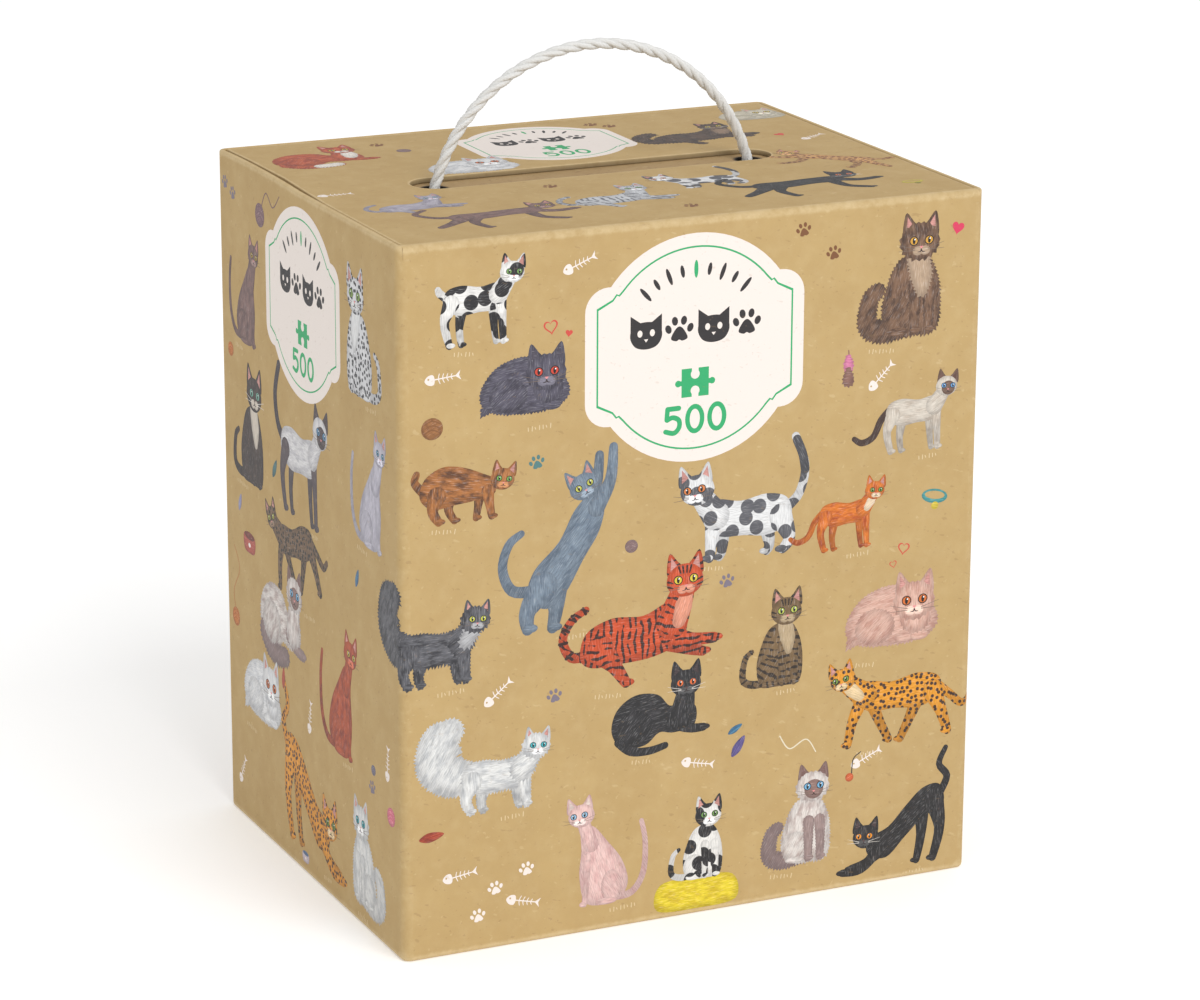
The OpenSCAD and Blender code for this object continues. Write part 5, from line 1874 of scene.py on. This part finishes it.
def print_everything(ink):
    """Prints the four sides, the lid and the guide."""
    def on_front(x, y, lift):
        place_x, place_y, _ = on_walls(x, lift)
        return place_x, place_y, y

    def on_left(x, y, lift):
        return on_front(LEFT_START + x - CORNER, y, lift)

    def on_right(x, y, lift):
        return on_front(RIGHT_START + x - CORNER, y, lift)

    def on_back(x, y, lift):
        return on_front(BACK_START + FLAT_W + x, y, lift)

    def on_lid(x, y, lift):
        return x, y, HEIGHT + lift

    low, high = cad_box("picture_guide")
    guide_middle = (low.y + high.y) / 2

    def on_guide(x, y, lift):
        y += guide_middle
        return x, y, high.z + leaf_spring(x, y - low.y) + lift - GUIDE_LEAF / 2

    turns = [QUARTER * i / CORNER_STEPS for i in range(CORNER_STEPS + 1)]
    front_folds = [sign * (FLAT_W + turn) for sign in (-1, 1) for turn in turns]
    print_picture("front_print", front_drawings(), on_front, ink, "carton", front_folds)
    print_picture("left_print", left_drawings(), on_left, ink, "carton")
    print_picture("right_print", right_drawings(), on_right, ink, "carton")
    print_picture("back_print", back_drawings(), on_back, ink, "carton")
    print_picture("lid_print", top_drawings(), on_lid, ink, "lid",
                  limits=((lid_low.x + 0.6, lid_high.x - 0.6), (lid_low.y + 2.4, lid_high.y - 1.4)))
    print_picture("guide_print", guide_drawings(), on_guide, ink, "carton", limits=((-70, 70), (-50, 50)))


# ---- camera, light and floor

def add_camera():
    """A long lens at a corner of the box, a little above it."""
    azimuth, elevation, roll = (math.radians(angle) for angle in (-24.9565, 16.4874, 0.2433))
    back = Vector((math.sin(azimuth) * math.cos(elevation), -math.cos(azimuth) * math.cos(elevation),
                   math.sin(elevation)))
    right = Vector((math.cos(azimuth), math.sin(azimuth), 0.0))
    up = back.cross(right)
    turned_right = right * math.cos(roll) + up * math.sin(roll)
    turned_up = up * math.cos(roll) - right * math.sin(roll)
    width = 2 * HALF_W
    middle = Vector((0.0, 0.0, HEIGHT / 2))
    place = middle + back * (7.0204 * width) + turned_right * (0.013 * width) + turned_up * (0.0147 * width)
    data = bpy.data.cameras.new("camera")
    data.sensor_width = 36.0
    data.lens = 128.0
    data.clip_start = 0.05
    data.clip_end = 50.0
    camera = bpy.data.objects.new("camera", data)
    camera.matrix_world = Matrix.Translation(place * MM) @ Matrix(
        (turned_right, turned_up, back)).transposed().to_4x4()
    bpy.context.scene.collection.objects.link(camera)
    bpy.context.scene.camera = camera


def add_light(name, place, size, power, aim=(0.0, 0.0, 0.09)):
    """A soft square lamp that faces the box. Place and size are in metres."""
    data = bpy.data.lights.new(name, "AREA")
    data.shape = "RECTANGLE"
    data.size, data.size_y = size, size
    data.energy = power
    lamp = bpy.data.objects.new(name, data)
    lamp.location = place
    lamp.rotation_euler = (Vector(place) - Vector(aim)).to_track_quat("Z", "Y").to_euler()
    bpy.context.scene.collection.objects.link(lamp)


def add_studio():
    """A pale floor, an even white surround and one soft lamp."""
    paint = make_floor_paint()
    half, count = 6.0, 24
    points = [((-half + 2 * half * i / count) / MM, (-half + 2 * half * j / count) / MM, -0.05)
              for i in range(count + 1) for j in range(count + 1)]
    floor = new_piece("studio_floor", points, grid_faces(count + 1, count + 1), [paint])
    for face in floor.data.polygons:
        if face.normal.z < 0:
            face.flip()
    world = bpy.data.worlds.new("surround")
    world.use_nodes = True
    world.node_tree.nodes["Background"].inputs["Color"].default_value = (1.0, 1.0, 1.0, 1.0)
    world.node_tree.nodes["Background"].inputs["Strength"].default_value = 0.72
    bpy.context.scene.world = world
    add_light("front_softbox", (0.5, -3.4, 3.2), 2.6, 108.0)
    scene = bpy.context.scene
    scene.view_settings.view_transform = "Standard"
    scene.view_settings.look = "None"


# ---- everything together

add_camera()
add_studio()

KRAFT = rgb("c6a76f")
kraft_print = make_board("kraft_print", KRAFT, rgb("a8885a"), rgb("e2ca9c"), 0.5, 0.72, 0.6)
# The inside board's own duller kraft, made darker as painted shade for where it lies in shadow in the slot.
kraft_inside = make_board("kraft_inside", rgb("b49668"), rgb("8a6c48"), rgb("ccb48a"), 0.9, 0.82,
                          0.4)
cotton = make_cotton()
film_look = make_film()
guide_paper = make_guide_paper()
print_ink = make_print()

make_sleeve(kraft_print, kraft_inside)
make_glue_flap(kraft_inside)
make_base(kraft_print, kraft_inside)
make_lid(kraft_print, kraft_inside)
make_handle_tray(kraft_inside)
make_tuck(kraft_print)
make_creases(kraft_print, kraft_inside)
for side in (-1, 1):
    make_dust_flap(side, kraft_inside)
    make_dust_crease(side, kraft_inside)

rope_tree = make_rope_tree()
make_rope(cotton)
for side in (-1, 1):
    make_knot(side, cotton)

make_bag(film_look)
make_bag_seam(film_look)
make_guide(guide_paper)

bag_low, bag_high = cad_box("piece_bag")
puzzle_board = make_puzzle_board(((bag_high.x - bag_low.x) / 6, (bag_high.y - bag_low.y) / 4, 2.4))
for name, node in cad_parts.items():
    if name.startswith("puzzle_pieces"):
        node.data.materials.clear()
        node.data.materials.append(puzzle_board)

print_everything(print_ink)
